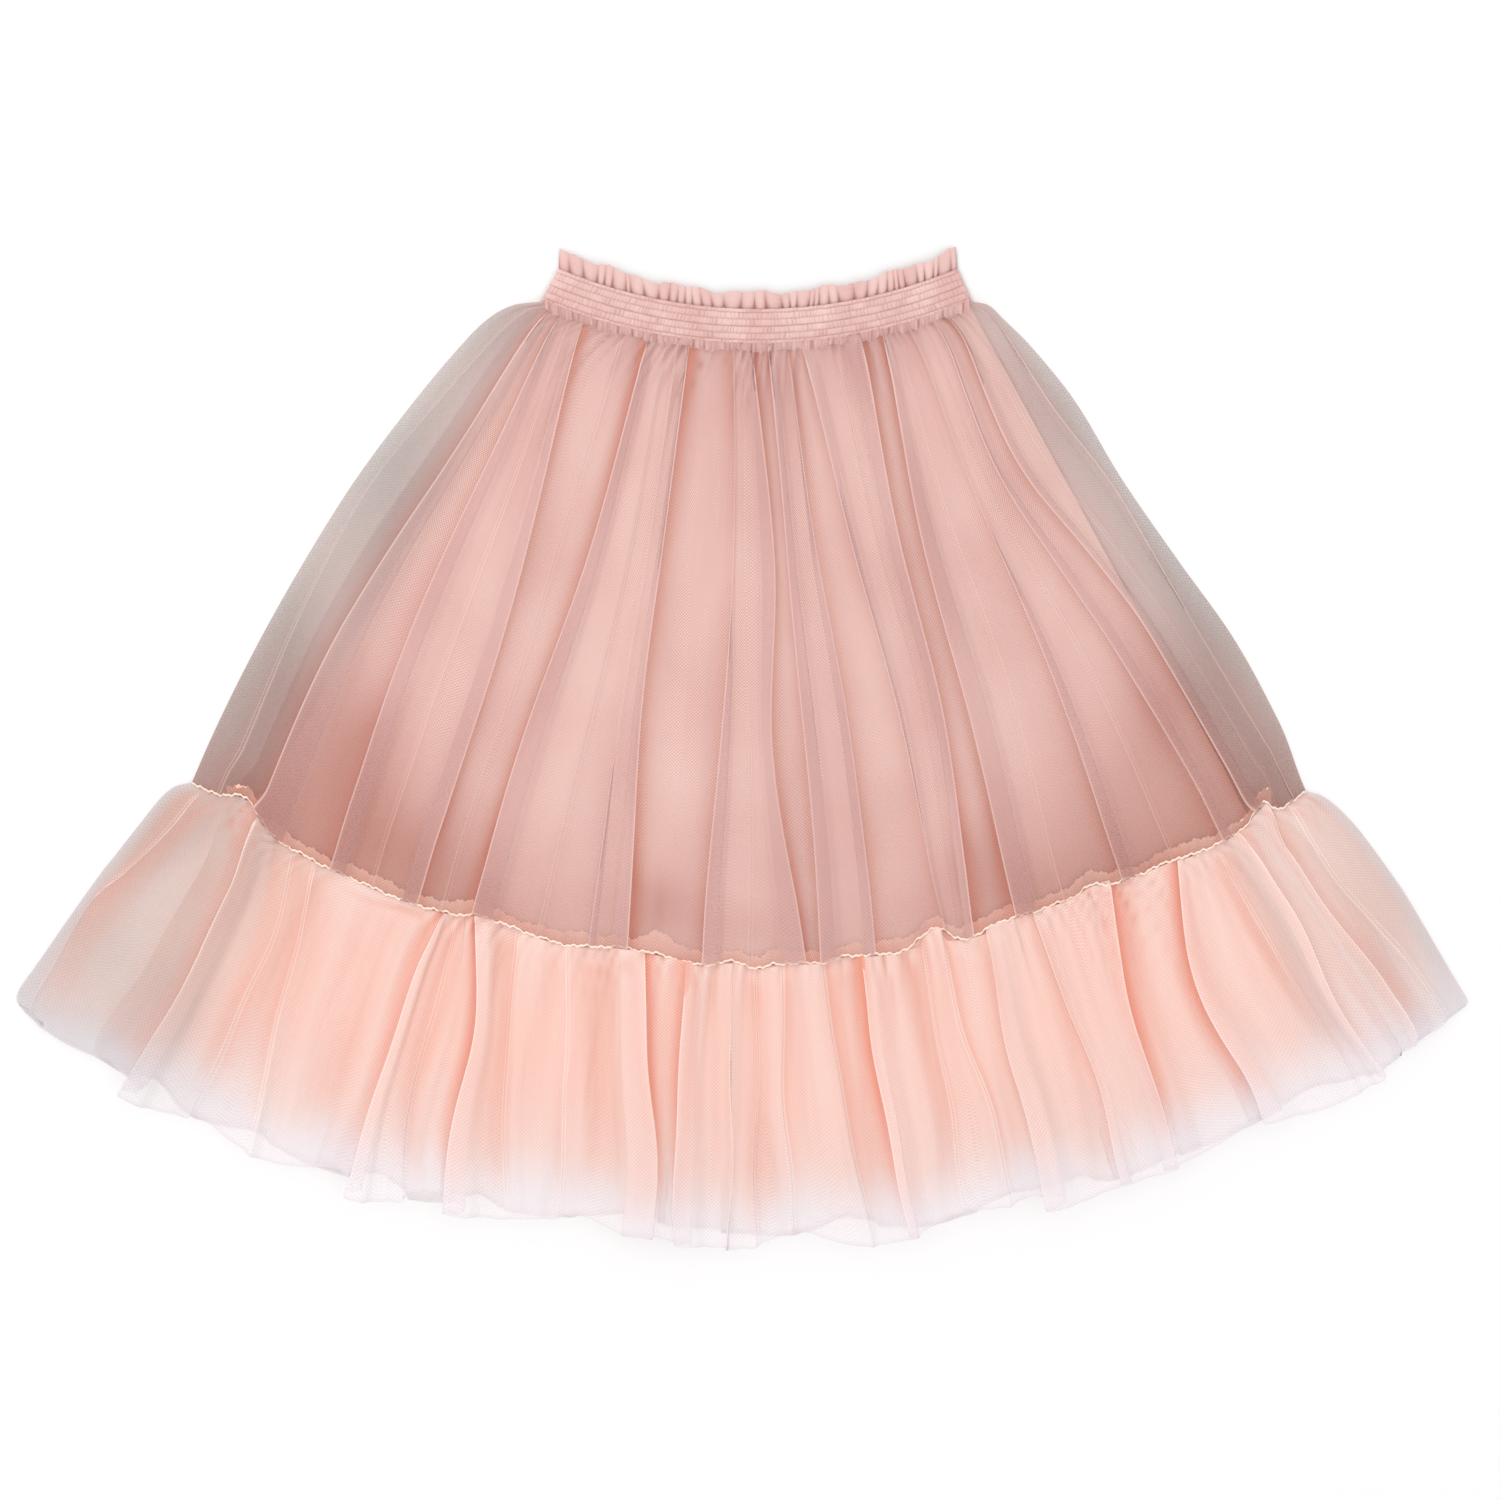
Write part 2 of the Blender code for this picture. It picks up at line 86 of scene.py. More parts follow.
SKIRT_SECTIONS = table(Section, (
    (0.00, 120, 139, 26),
    (0.05, 137, 149, 42),
    (0.10, 152, 158, 52),
    (0.16, 168, 174, 58),
    (0.27, 195, 200, 66),
    (0.44, 231, 229, 80),
    (0.59, 261, 262, 87),
    (0.74, 288, 296, 94),
    (0.89, 313, 323, 99),
    (1.00, 329, 339, 102),
))
FLOUNCE_SECTIONS = table(Section, (
    (0.00, 329, 339, 102),
    (0.06, 341, 349, 108),
    (0.15, 353, 361, 111),
    (0.50, 386, 394, 124),
    (1.00, 436, 436, 131),
))
BAND_SECTIONS = table(Section, ((0.0, 119.7, 138.7, 26), (1.0, 109, 130, 24.3)))
FRILL_SECTIONS = table(Section, ((0.0, 109, 130, 24.3), (1.0, 108.5, 129, 27)))

# The straight sides of the lining and the inner flounce.
INNER_TOP_Y = WAIST_SEAM_Y + 26.0
InnerSide = namedtuple("InnerSide", "at_waist flare")
INNER_LEFT = InnerSide(117, 0.57)
INNER_RIGHT = InnerSide(136, 0.55)

# A pleat of the gathered cloth. Its folded edge crosses the panel's top, upper third, lower third
# and foot at the first four columns. rise_top and rise_foot are its height, lean is the side that
# the edge faces, lap is the share of its room over which it doubles back under itself, and gap is
# how deep the painted shade is in the opening beside its edge.
Pleat = namedtuple("Pleat", "top upper lower foot rise_top rise_foot lean lap gap")
PLEAT_LEVELS = (0.0, 0.35, 0.66, 1.0)

SKIRT_PLEATS = table(Pleat, (
    (-117, -204, -263, -312, 2.0, 2.5, -1, 0.25, 0.1),
    (-111, -180, -242, -291, 3.0, 4.5, -1, 0.75, 0.6),
    (-105, -160, -205, -246, 3.5, 4.0, -1, 0.70, 0.5),
    (-99, -141, -180, -219, 2.5, 2.5, -1, 0.15, 0.1),
    (-93, -123, -154, -193, 4.0, 4.5, 1, 0.85, 0.8),
    (-70, -106, -140, -180, 3.0, 3.0, 1, 0.30, 0.1),
    (-55, -88, -125, -162, 4.5, 5.0, -1, 0.80, 1.0),
    (-44, -66, -92, -124, 3.0, 3.0, 1, 0.30, 0.1),
    (-37, -56, -74, -90, 3.0, 2.5, -1, 0.45, 0.1),
    (-30, -46, -61, -67, 4.5, 5.0, 1, 1.00, 1.0),
    (-4, -4, -12, -23, 4.0, 5.0, -1, 0.85, 0.5),
    (1, 1, 4, 5, 2.0, 2.5, 1, 0.30, 0.0),
    (7, 20, 20, 40, 4.0, 4.5, 1, 0.80, 0.9),
    (16, 28, 38, 47, 3.5, 4.5, -1, 0.70, 0.5),
    (28, 46, 66, 80, 3.5, 2.0, 1, 0.50, 0.6),
    (36, 67, 96, 121, 4.0, 5.0, -1, 0.60, 0.3),
    (54, 81, 110, 131, 2.5, 2.5, 1, 0.20, 0.0),
    (72, 95, 121, 140, 4.5, 5.0, 1, 0.95, 0.9),
    (84, 107, 136, 164, 4.0, 5.5, -1, 0.85, 0.8),
    (91, 125, 162, 195, 2.5, 2.5, -1, 0.15, 0.0),
    (99, 143, 188, 228, 4.0, 4.5, -1, 0.65, 0.4),
    (106, 152, 207, 258, 2.5, 2.5, 1, 0.20, 0.1),
    (113, 160, 224, 288, 3.5, 4.0, -1, 0.60, 0.3),
    (121, 172, 245, 308, 4.0, 4.5, -1, 0.80, 0.6),
    (128, 187, 256, 321, 2.5, 2.5, 1, 0.20, 0.1),
    (134, 206, 268, 331, 2.5, 2.5, 1, 0.50, 0.2),
))
FLOUNCE_PLEATS = table(Pleat, (
    (-322, -362, -398, -428, 1.5, 3.0, -1, 0.35, 0.1),
    (-289, -313, -338, -371, 3.5, 8.0, -1, 0.70, 0.5),
    (-268, -281, -303, -330, 1.5, 4.0, 1, 0.20, 0.3),
    (-254, -266, -279, -291, 2.0, 5.0, -1, 0.35, 0.3),
    (-178, -200, -218, -237, 2.0, 8.0, -1, 0.75, 0.5),
    (-170, -182, -196, -203, 1.5, 4.0, 1, 0.30, 0.1),
    (-159, -158, -168, -180, 4.0, 7.0, -1, 0.70, 0.9),
    (-132, -137, -140, -143, 1.0, 4.0, -1, 0.35, 0.1),
    (-104, -105, -106, -107, 1.0, 4.0, 1, 0.25, 0.1),
    (-57, -55, -52, -52, 4.5, 7.0, 1, 0.65, 0.9),
    (-33, -36, -38, -39, 4.0, 7.0, -1, 0.70, 0.7),
    (-4, -6, -7, -9, 1.0, 4.0, -1, 0.45, 0.1),
    (8, 9, 9, 10, 1.0, 4.0, 1, 0.40, 0.1),
    (24, 25, 26, 30, 1.5, 5.0, 1, 0.40, 0.4),
    (48, 55, 64, 77, 2.5, 5.0, 1, 0.35, 0.4),
    (72, 79, 88, 99, 4.5, 6.0, -1, 0.45, 1.0),
    (108, 116, 126, 137, 1.5, 4.0, 1, 0.25, 0.2),
    (120, 131, 147, 162, 3.0, 5.0, 1, 0.35, 0.5),
    (146, 156, 168, 182, 2.0, 6.0, -1, 0.55, 0.3),
    (174, 194, 212, 230, 2.0, 6.0, -1, 0.45, 0.3),
    (221, 230, 246, 262, 4.5, 6.0, 1, 0.60, 1.0),
    (261, 268, 286, 311, 3.0, 6.0, -1, 0.50, 0.9),
    (284, 309, 336, 370, 1.5, 4.0, 1, 0.25, 0.1),
    (299, 328, 354, 387, 3.5, 7.0, 1, 0.60, 0.4),
    (315, 345, 377, 405, 2.5, 5.0, 1, 0.50, 0.3),
    (328, 356, 392, 420, 1.5, 4.0, 1, 0.35, 0.1),
))

# How far the seam over the flounce sags below its plain arc, at each place across.
Sag = namedtuple("Sag", "x down")
SEAM_SAGS = table(Sag, (
    (-340, -1.5), (-318, -2), (-296, -12), (-288, -6), (-281, 1), (-262, 3.5),
    (-230, 4), (-199, 4.5), (-170, 2.5), (-156, -1), (-132, 1.5), (-105, 4.5),
    (-73, 1), (-49, 2.5), (-25, 7), (-5, 4.5), (11, 8.5), (21, 6), (49, 6.5),
    (63, 4), (98, 5), (116, -5.5), (130, 4), (142, 4), (154, 0), (197, -1.5),
    (209, -5), (223, -1), (261, 0.5), (271, 3), (301, 3), (313, -5),
    (323, 5), (340, 4),
))

# The lobes of the flounce's cut edge: where each starts, how far it hangs there, where its belly
# lies and how far that hangs, and how far it hangs at its end.
Lobe = namedtuple("Lobe", "start start_hang belly belly_hang end_hang")
FLOUNCE_LOBES = table(Lobe, (
    (-437, 8, -425, 11, -1.5),
    (-373, 12, -360, 17, 5.5),
    (-321, 5.5, -287, 17, 3.5),
    (-238, 19, -228, 21, -1),
    (-180, 11, -170, 14, 1),
    (-92, 2, -59, 12, 7),
    (-51, 11, 3, 16.5, 2.5),
    (33, 2.5, 83, 19, 3.5),
    (134, 3.5, 156, 7.5, 2),
    (181, 13.5, 205, 15.5, 9),
    (231, 11.5, 249, 12.5, 1),
    (313, 1, 363, 16, 14.5),
    (389, 6, 408, 6.5, 3),
))
LOBE_END_CURVE = 1.6
LAST_LOBE_END = 450.0

# The points across one pleat, from the side on which it rises. Each lies back from the folded
# edge by these shares of the rising and doubled widths, and by tuck in millimetres, or beyond the
# edge by this share of the open width. rise is its share of the pleat's height. bend is 1 on a
# folded edge, where the net is thicker and a highlight is painted, and glow is 1 in the
# opening beside it, where shade is painted.
PleatPoint = namedtuple("PleatPoint", "rising doubled tuck open rise bend glow")
PLEAT_POINTS = table(PleatPoint, (
    (1.00, 1.00, 0.0, 0.00, 0.00, 0.0, 0.0),
    (0.75, 1.00, 0.0, 0.00, 0.10, 0.0, 0.0),
    (0.50, 1.00, 0.0, 0.00, 0.38, 0.0, 0.0),
    (0.25, 1.00, 0.0, 0.00, 0.68, 0.0, 0.0),
    (0.00, 1.00, 0.0, 0.00, 0.86, 0.0, 0.0),
    (0.00, 0.66, 0.0, 0.00, 0.95, 0.0, 0.0),
    (0.00, 0.33, 0.0, 0.00, 1.00, 0.0, 0.0),
    (0.00, 0.00, 1.2, 0.00, 1.00, 0.1, 0.0),
    (0.00, 0.00, 0.4, 0.00, 0.98, 0.9, 0.0),
    (0.00, 0.00, 0.0, 0.00, 0.90, 1.0, 0.0),
    (0.00, 0.00, 0.4, 0.00, 0.80, 0.7, 0.0),
    (0.00, 0.00, 1.2, 0.00, 0.74, 0.0, 0.0),
    (0.00, 0.50, 0.6, 0.00, 0.62, 0.0, 0.0),
    (0.00, 1.00, -1.2, 0.00, 0.50, 0.0, 0.0),
    (0.00, 1.00, 0.0, 0.00, 0.43, 0.5, 0.0),
    (0.00, 1.00, -0.5, 0.00, 0.36, 0.4, 0.0),
    (0.00, 1.00, -1.3, 0.00, 0.33, 0.0, 0.2),
    (0.00, 0.45, 0.0, 0.00, 0.26, 0.0, 0.6),
    (0.00, 0.00, 0.0, 0.00, 0.18, 0.0, 1.0),
    (0.00, 0.00, 0.0, 0.18, 0.12, 0.0, 0.9),
    (0.00, 0.00, 0.0, 0.42, 0.06, 0.0, 0.5),
    (0.00, 0.00, 0.0, 0.70, 0.02, 0.0, 0.15),
    (0.00, 0.00, 0.0, 1.00, 0.00, 0.0, 0.0),
))
# A pleat with less than this share of its room doubled back is a soft ridge instead: its points
# then lie down a slope on both sides of its edge, at these shares of the slope's width.
LEAST_LAP = 0.42
SLOPE_STEPS = (
    0, 0, 0, 0, -0.5, -0.38, -0.24, -0.12, -0.04, 0, 0.08, 0.18,
    0.3, 0.42, 0.54, 0.65, 0.76, 0.88, 1.0, 0.6, 0.3, 0.1, 0,
)
SLOPE_SHARE = 0.4
SLOPE_WIDTH = 3.2
SLOPE_ENDS_AT = 4.0
NARROW_HEIGHT = 0.3
FLAT_STEPS = (0.25, 0.5, 0.75)
# The side on which a pleat laps over takes more of the room between it and the next one.
LAP_SIDE_WEIGHT = 1.7
ROOM_USED = 0.94
LEAST_ROOM = 0.3
# A full lap doubles back over this share of its side's room. A doubled width under LAP_STARTS
# fades out, and one wider by WHOLE_LAP_AFTER is whole.
LAP_REACH = 0.85
LAP_STARTS = 1.0
WHOLE_LAP_AFTER = 3.0
TUCK_RATE = 0.35
WIDEST_RISING = 9.0
WIDEST_OPENING = 11.0
# A pleat is at most this share of its width in height, and a little more where it is narrow.
STEEPEST = 0.55
LOWEST_LIMIT = 0.4

# A ripple of the loose cloth: its length across, its height, and how it wanders down the panel.
Ripple = namedtuple("Ripple", "length height phase wander")

LOOSE_RIPPLES = table(Ripple, (
    (41.0, 0.7, 0.4, 1.6),
    (23.0, 0.35, 2.1, 2.3),
))
FLOUNCE_RIPPLES = table(Ripple, (
    (57.0, 1.3, 4.2, 0.5),
    (31.0, 1.1, 1.0, 0.9),
    (17.0, 0.6, 3.0, 1.5),
    (9.5, 0.3, 5.0, 2.2),
))


def clipped(value):
    return np.clip(value, 0, 1)


def smooth_step(value):
    held = clipped(value)
    return held * held * (3 - 2 * held)


def ramp(value, start, width):
    """0 as far as start, then a smooth rise to 1 over this width."""
    return smooth_step((value - start) / width)


def curve_through(levels, values, at):
    """The heights at the places at of a smooth curve through the points (levels, values)."""
    levels, values = np.asarray(levels, float), np.asarray(values, float)
    after = np.minimum(np.arange(len(levels)) + 1, len(levels) - 1)
    before = np.maximum(np.arange(len(levels)) - 1, 0)
    slopes = (values[after] - values[before]) / (levels[after] - levels[before])
    at = np.clip(at, levels[0], levels[-1])
    k = np.clip(np.searchsorted(levels, at, side="right") - 1, 0, len(levels) - 2)
    span = levels[k + 1] - levels[k]
    t = (at - levels[k]) / span
    return (
        (2 * t**3 - 3 * t**2 + 1) * values[k]
        + (t**3 - 2 * t**2 + t) * span * slopes[k]
        + (3 * t**2 - 2 * t**3) * values[k + 1]
        + (t**3 - t**2) * span * slopes[k + 1]
    )


class Arcs:
    """The arcs of a panel's rows, for rows at these shares of its length."""

    def __init__(self, sections, along):
        levels = [section.along for section in sections]
        left, right, lift = (
            curve_through(levels, [section[i] for section in sections], along)[:, None]
            for i in (1, 2, 3)
        )
        self.half = (left + right) / 2
        self.middle = (right - left) / 2
        self.radius = (self.half**2 + lift**2) / (2 * lift)
        self.reach = np.arcsin(self.half / self.radius)

    def across(self, x):
        """The share across, from -1 to 1, at which a row crosses x."""
        return np.arcsin(np.clip((x - self.middle) / self.radius, -1, 1)) / self.reach

    def place(self, across, middle_y):
        """The X and Y of the point at this share across a row whose middle lies at middle_y."""
        angle = across * self.reach
        x = self.middle + self.radius * np.sin(angle)
        return x, middle_y + self.radius * (1 - np.cos(angle))


def loft_share(across, along):
    """How much of its loft a layer has: all of it in the middle, none at its sides or its top."""
    return (1 - clipped(np.abs(across)) ** LOFT_POWER) * smooth_step(along / WHOLE_LOFT_FROM)


def front_height(across, along):
    """How high the sheer front lies, before its pleats: it comes down to the back at its sides."""
    outer_part = smooth_step((np.abs(across) - SIDE_DROP_START) / (1 - SIDE_DROP_START))
    drop = (FRONT.base - INNER_BACK.base) * outer_part * smooth_step(along / SIDE_DROP_FROM)
    return FRONT.base + FRONT.loft * loft_share(across, along) - drop


def inner_reach(x, y):
    """How far from X = 0 the inner layers reach at this height, on the side that x is on."""
    left = INNER_LEFT.at_waist + INNER_LEFT.flare * (INNER_TOP_Y - y)
    right = INNER_RIGHT.at_waist + INNER_RIGHT.flare * (INNER_TOP_Y - y)
    return np.where(x < 0, left, right)


HALVINGS = 24


def inner_sides(arcs, middle_y):
    """The shares across at which each row meets the inner layers' straight sides."""
    sides = []
    for side in (-1, 1):
        near, far = np.zeros_like(arcs.half), np.ones_like(arcs.half)
        for _ in range(HALVINGS):
            share = (near + far) / 2
            x, y = arcs.place(side * share, middle_y)
            inside = np.abs(x) < inner_reach(x, y)
            near, far = np.where(inside, share, near), np.where(inside, far, share)
        sides.append(side * near)
    return sides


def seam_sag(x):
    """How far the seam over the flounce sags below its arc."""
    return curve_through([sag.x for sag in SEAM_SAGS], [sag.down for sag in SEAM_SAGS], x)


def sag_above(x, down):
    """How far the sag draws the panel above the seam down, near its foot."""
    return seam_sag(x) * ramp(down, 0.9, 0.1)


def sag_below(x, down):
    """How far the sag draws the flounce down, near its top."""
    return seam_sag(x) * smooth_step((0.25 - down) / 0.25)


def lobe_hang(x):
    """How far the lobes hang below the flounce's arc, with a step where one follows another."""
    hang = np.zeros_like(x)
    ends = [lobe.start for lobe in FLOUNCE_LOBES[1:]] + [LAST_LOBE_END]
    for lobe, end in zip(FLOUNCE_LOBES, ends):
        before = clipped((x - lobe.start) / (lobe.belly - lobe.start))
        after = clipped((x - lobe.belly) / (end - lobe.belly))
        rise = (lobe.belly_hang - lobe.start_hang) * (1 - (1 - before) ** 2)
        fall = (lobe.end_hang - lobe.belly_hang) * after**LOBE_END_CURVE
        hang = np.where(x >= lobe.start, lobe.start_hang + rise + fall, hang)
    return hang


STEP_SOFTNESS = (-6.0, -4.0, -2.0, 0.0, 2.0, 4.0, 6.0)


def hem_hang(x):
    """How far the flounce's cut edge hangs below its arc, rounded where two lobes meet."""
    return sum(lobe_hang(x + shift) for shift in STEP_SOFTNESS) / len(STEP_SOFTNESS)


class Pleated:
    """Columns of points across a pleated panel, from its left side to its right.

    For every row, x is where each column lies, order is where it would lie unpleated, rise is its
    height, bend is its share of a folded edge, which gets a painted highlight, and glow is its
    share of the painted shade in an opening.
    """

    def __init__(self, pleats, along, left, right, wobble):
        self.random = np.random.default_rng(SEED)
        self.along = along
        self.parts = {"x": [], "order": [], "rise": [], "bend": [], "glow": []}
        edges = [left, *(self.wandering(pleat, wobble) for pleat in pleats), right]
        lap_side = {1: (LAP_SIDE_WEIGHT, 1.0), -1: (1.0, LAP_SIDE_WEIGHT)}
        weights = [(1.0, 1.0), *(lap_side[pleat.lean] for pleat in pleats), (1.0, 1.0)]
        end = left
        self.add_smooth(left[:, None])
        for i, pleat in enumerate(pleats, start=1):
            before = (edges[i] - edges[i - 1]) * ROOM_USED
            after = (edges[i + 1] - edges[i]) * ROOM_USED
            before = before * weights[i][0] / (weights[i][0] + weights[i - 1][1])
            after = after * weights[i][1] / (weights[i][1] + weights[i + 1][0])
            before, after = np.maximum(before, LEAST_ROOM), np.maximum(after, LEAST_ROOM)
            end = self.add_pleat(pleat, edges[i], before, after, end)
        self.add_flat(end, right)
        self.add_smooth(right[:, None])
        for name, blocks in self.parts.items():
            setattr(self, name, np.concatenate(blocks, axis=1))

    def wandering(self, pleat, wobble):
        """Where a pleat's edge crosses each row: along its table's curve, with a slight drift."""
        phase = self.random.uniform(0, 2 * np.pi, 2)
        drift = np.sin(5 * self.along + phase[0]) + 0.6 * np.sin(11 * self.along + phase[1])
        return curve_through(PLEAT_LEVELS, pleat[:4], self.along) + wobble * drift * self.along

    def add(self, x, *others):
        for blocks, values in zip(self.parts.values(), (x, *others)):
            blocks.append(np.broadcast_to(values, x.shape))

    def add_smooth(self, x):
        self.add(x, x, 0.0, 0.0, 0.0)

    def add_flat(self, start, end):
        self.add_smooth(start[:, None] + (end - start)[:, None] * np.array(FLAT_STEPS))

    def add_pleat(self, pleat, edge, before, after, start):
        room, opening = (before, after) if pleat.lean > 0 else (after, before)
        doubled = (pleat.lap if pleat.lap > LEAST_LAP else 0.0) * LAP_REACH * room
        doubled = doubled * ramp(doubled, LAP_STARTS, WHOLE_LAP_AFTER)
        rising = np.minimum(room - doubled, WIDEST_RISING)
        opening = np.minimum(opening, WIDEST_OPENING)
        tightness = np.minimum(1.0, TUCK_RATE * doubled)
        points = np.array(PLEAT_POINTS)[:: int(pleat.lean)]
        back, doubled_share, tuck, beyond, share_of_rise, bend, glow = points.T[:, None, :]
        away = (
            beyond * opening[:, None] - back * rising[:, None]
            - doubled_share * doubled[:, None] - tuck * tightness[:, None]
        )
        steep = SLOPE_SHARE * np.minimum(opening, np.minimum(rising, SLOPE_WIDTH / SLOPE_SHARE))
        steep = steep * (1 - smooth_step(doubled / SLOPE_ENDS_AT))
        away = away + steep[:, None] * np.array(SLOPE_STEPS)[:: int(pleat.lean)]
        x = edge[:, None] + pleat.lean * away
        first, last = x[:, :1], x[:, -1:]
        order = first + (last - first) * np.linspace(0, 1, x.shape[1])
        uneven = 1 + 0.2 * np.sin(7 * self.along + self.random.uniform(0, 6))
        high = (pleat.rise_top + (pleat.rise_foot - pleat.rise_top) * self.along) * uneven
        high = high * min(1.0, NARROW_HEIGHT + pleat.lap)
        high = np.minimum(high, STEEPEST * (rising + doubled) + LOWEST_LIMIT)[:, None]
        self.add_flat(start, x[:, 0])
        self.add(x, order, high * share_of_rise, (0.4 + 0.6 * pleat.lap) * bend, pleat.gap * glow)
        return x[:, -1]


def cloth_run(x, z, row):
    """How far each column lies across the flat cloth, measured along one row."""
    steps = np.hypot(np.diff(x[row]), np.diff(z[row]))
    return np.concatenate(([0.0], np.cumsum(steps)))


def ripples_of(table, run, along):
    total = 0.0
    for ripple in table:
        bend = ripple.wander * np.sin(2.7 * along + ripple.phase)
        total = total + ripple.height * np.sin(2 * np.pi * run / ripple.length + ripple.phase + bend)
    return total


def make_mesh(name, points, faces, run, fields, material):
    """An object from points in millimetres, with the cloth's own coordinates and point fields."""
    mesh = bpy.data.meshes.new(name)
    mesh.from_pydata((points * MM).tolist(), [], faces.tolist())
    corners = np.empty(len(mesh.loops), np.int32)
    mesh.loops.foreach_get("vertex_index", corners)
    layer = mesh.uv_layers.new(name="cloth")
    layer.data.foreach_set("uv", (run * MM)[corners].ravel())
    for field, values in fields.items():
        store = mesh.attributes.new(field, "FLOAT", "POINT")
        store.data.foreach_set("value", np.ascontiguousarray(values, np.float32).ravel())
    mesh.polygons.foreach_set("use_smooth", [True] * len(mesh.polygons))
    mesh.materials.append(material)
    mesh.update()
    piece = bpy.data.objects.new(name, mesh)
    bpy.context.scene.collection.objects.link(piece)
    return piece


def grid_faces(rows, columns, joined=False):
    """Quads over a grid of points. joined closes each row on itself."""
    index = np.arange(rows * columns).reshape(rows, columns)
    if joined:
        index = np.concatenate((index, index[:, :1]), axis=1)
    corners = (index[1:, :-1], index[1:, 1:], index[:-1, 1:], index[:-1, :-1])
    return np.stack(corners, axis=-1).reshape(-1, 4)


def make_sheet(name, x, y, z, run, down, fields, material, joined=False):
    """A sheet of cloth over a grid: run and down are its flat coordinates."""
    points = np.stack(np.broadcast_arrays(x, y, z), axis=-1)
    shape = points.shape[:2]
    flat = np.stack((np.broadcast_to(run, shape), np.broadcast_to(down, shape)), axis=-1)
    fields = {field: np.broadcast_to(values, shape) for field, values in fields.items()}
    faces = grid_faces(*shape, joined=joined)
    return make_mesh(name, points.reshape(-1, 3), faces, flat.reshape(-1, 2), fields, material)


def dress(piece, slot, *nodes):
    """Fix a piece to the garment and hide the solids that it covers.
    slot is not used.
    """
    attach(piece, "root")
    if nodes:
        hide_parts(*nodes)
    return piece


# Materials

class Shader:
    """A material's node tree, with a short call for each kind of node that it needs."""

    def __init__(self, name):
        self.material = bpy.data.materials.new(name)
        self.material.use_nodes = True
        self.nodes = self.material.node_tree.nodes
        self.links = self.material.node_tree.links
        self.surface = self.nodes["Principled BSDF"]

    def put(self, value, socket):
        if isinstance(value, bpy.types.NodeSocket):
            self.links.new(value, socket)
        else:
            socket.default_value = value

    def field(self, name):
        node = self.nodes.new("ShaderNodeAttribute")
        node.attribute_name = name
        return node.outputs["Fac"]

    def math(self, operation, first, second=0.0, clamp=False):
        node = self.nodes.new("ShaderNodeMath")
        node.operation = operation
        node.use_clamp = clamp
        self.put(first, node.inputs[0])
        self.put(second, node.inputs[1])
        return node.outputs[0]

    def spread(self, value, low, high, to_low=0.0, to_high=1.0):
        """value, from low to high, spread over to_low to to_high."""
        node = self.nodes.new("ShaderNodeMapRange")
        for place, number in enumerate((low, high, to_low, to_high), start=1):
            node.inputs[place].default_value = number
        self.put(value, node.inputs[0])
        return node.outputs[0]

    def mix(self, share, first, second):
        node = self.nodes.new("ShaderNodeMix")
        node.data_type = "RGBA"
        self.put(share, node.inputs["Factor"])
        self.put(first, node.inputs["A"])
        self.put(second, node.inputs["B"])
        return node.outputs["Result"]

    def cloth_place(self, across, down):
        """The cloth's own coordinates in metres, times across and down."""
        place = self.nodes.new("ShaderNodeUVMap")
        place.uv_map = "cloth"
        node = self.nodes.new("ShaderNodeMapping")
        node.inputs["Scale"].default_value = (across, down, 1.0)
        self.links.new(place.outputs[0], node.inputs["Vector"])
        return node.outputs[0]

    def noise(self, across, down, detail=1.5):
        node = self.nodes.new("ShaderNodeTexNoise")
        node.noise_dimensions = "2D"
        node.inputs["Scale"].default_value = 1.0
        node.inputs["Detail"].default_value = detail
        self.links.new(self.cloth_place(across, down), node.inputs["Vector"])
        return node.outputs["Fac"]

    def level(self):
        """1 where the cloth lies level, whichever side is up, and 0 where it stands upright."""
        facing = self.nodes.new("ShaderNodeNewGeometry")
        parts = self.nodes.new("ShaderNodeSeparateXYZ")
        self.links.new(facing.outputs["Normal"], parts.inputs[0])
        return self.math("ABSOLUTE", parts.outputs["Z"])

    def net(self, cells_per_metre):
        """1 on the threads of a fine net, which cross on the bias, and 0 in its holes."""
        rising = self.wave("DIAGONAL", cells_per_metre, 0.0)
        falling = self.wave("DIAGONAL", cells_per_metre, 0.0, -1.0)
        return self.spread(self.math("MAXIMUM", rising, falling), 0.55, 0.95)

    def weave(self, threads_per_metre, slub):
        """The over and under of a plain weave, with threads that thicken and thin."""
        across = self.wave("X", threads_per_metre, slub)
        down = self.wave("Y", threads_per_metre, slub)
        return self.math("MAXIMUM", across, down)

    def wave(self, direction, per_metre, distortion, turned=1.0):
        """Threads side by side. The texture makes 10 / pi of them to a unit of its scale."""
        node = self.nodes.new("ShaderNodeTexWave")
        node.bands_direction = direction
        node.inputs["Scale"].default_value = per_metre * math.pi / 10
        node.inputs["Distortion"].default_value = distortion
        node.inputs["Detail"].default_value = 1.0
        self.links.new(self.cloth_place(turned, 1.0), node.inputs["Vector"])
        return node.outputs["Fac"]

    def bump(self, height, distance, strength):
        node = self.nodes.new("ShaderNodeBump")
        node.inputs["Strength"].default_value = strength
        node.inputs["Distance"].default_value = distance
        self.links.new(height, node.inputs["Height"])
        self.links.new(node.outputs[0], self.surface.inputs["Normal"])

    def finish(self, colour, roughness, sheen=0.0, alpha=None):
        self.put(colour, self.surface.inputs["Base Color"])
        self.put(roughness, self.surface.inputs["Roughness"])
        self.surface.inputs["Sheen Weight"].default_value = sheen
        self.surface.inputs["Sheen Roughness"].default_value = 0.5
        self.surface.inputs["Specular IOR Level"].default_value = 0.25
        if alpha is not None:
            self.put(alpha, self.surface.inputs["Alpha"])
        return self.material


def srgb(red, green, blue):
    """A colour given as it looks, from 0 to 255, as a linear one."""
    def linear(value):
        share = value / 255
        return share / 12.92 if share <= 0.04045 else ((share + 0.055) / 1.055) ** 2.4

    return (linear(red), linear(green), linear(blue), 1.0)


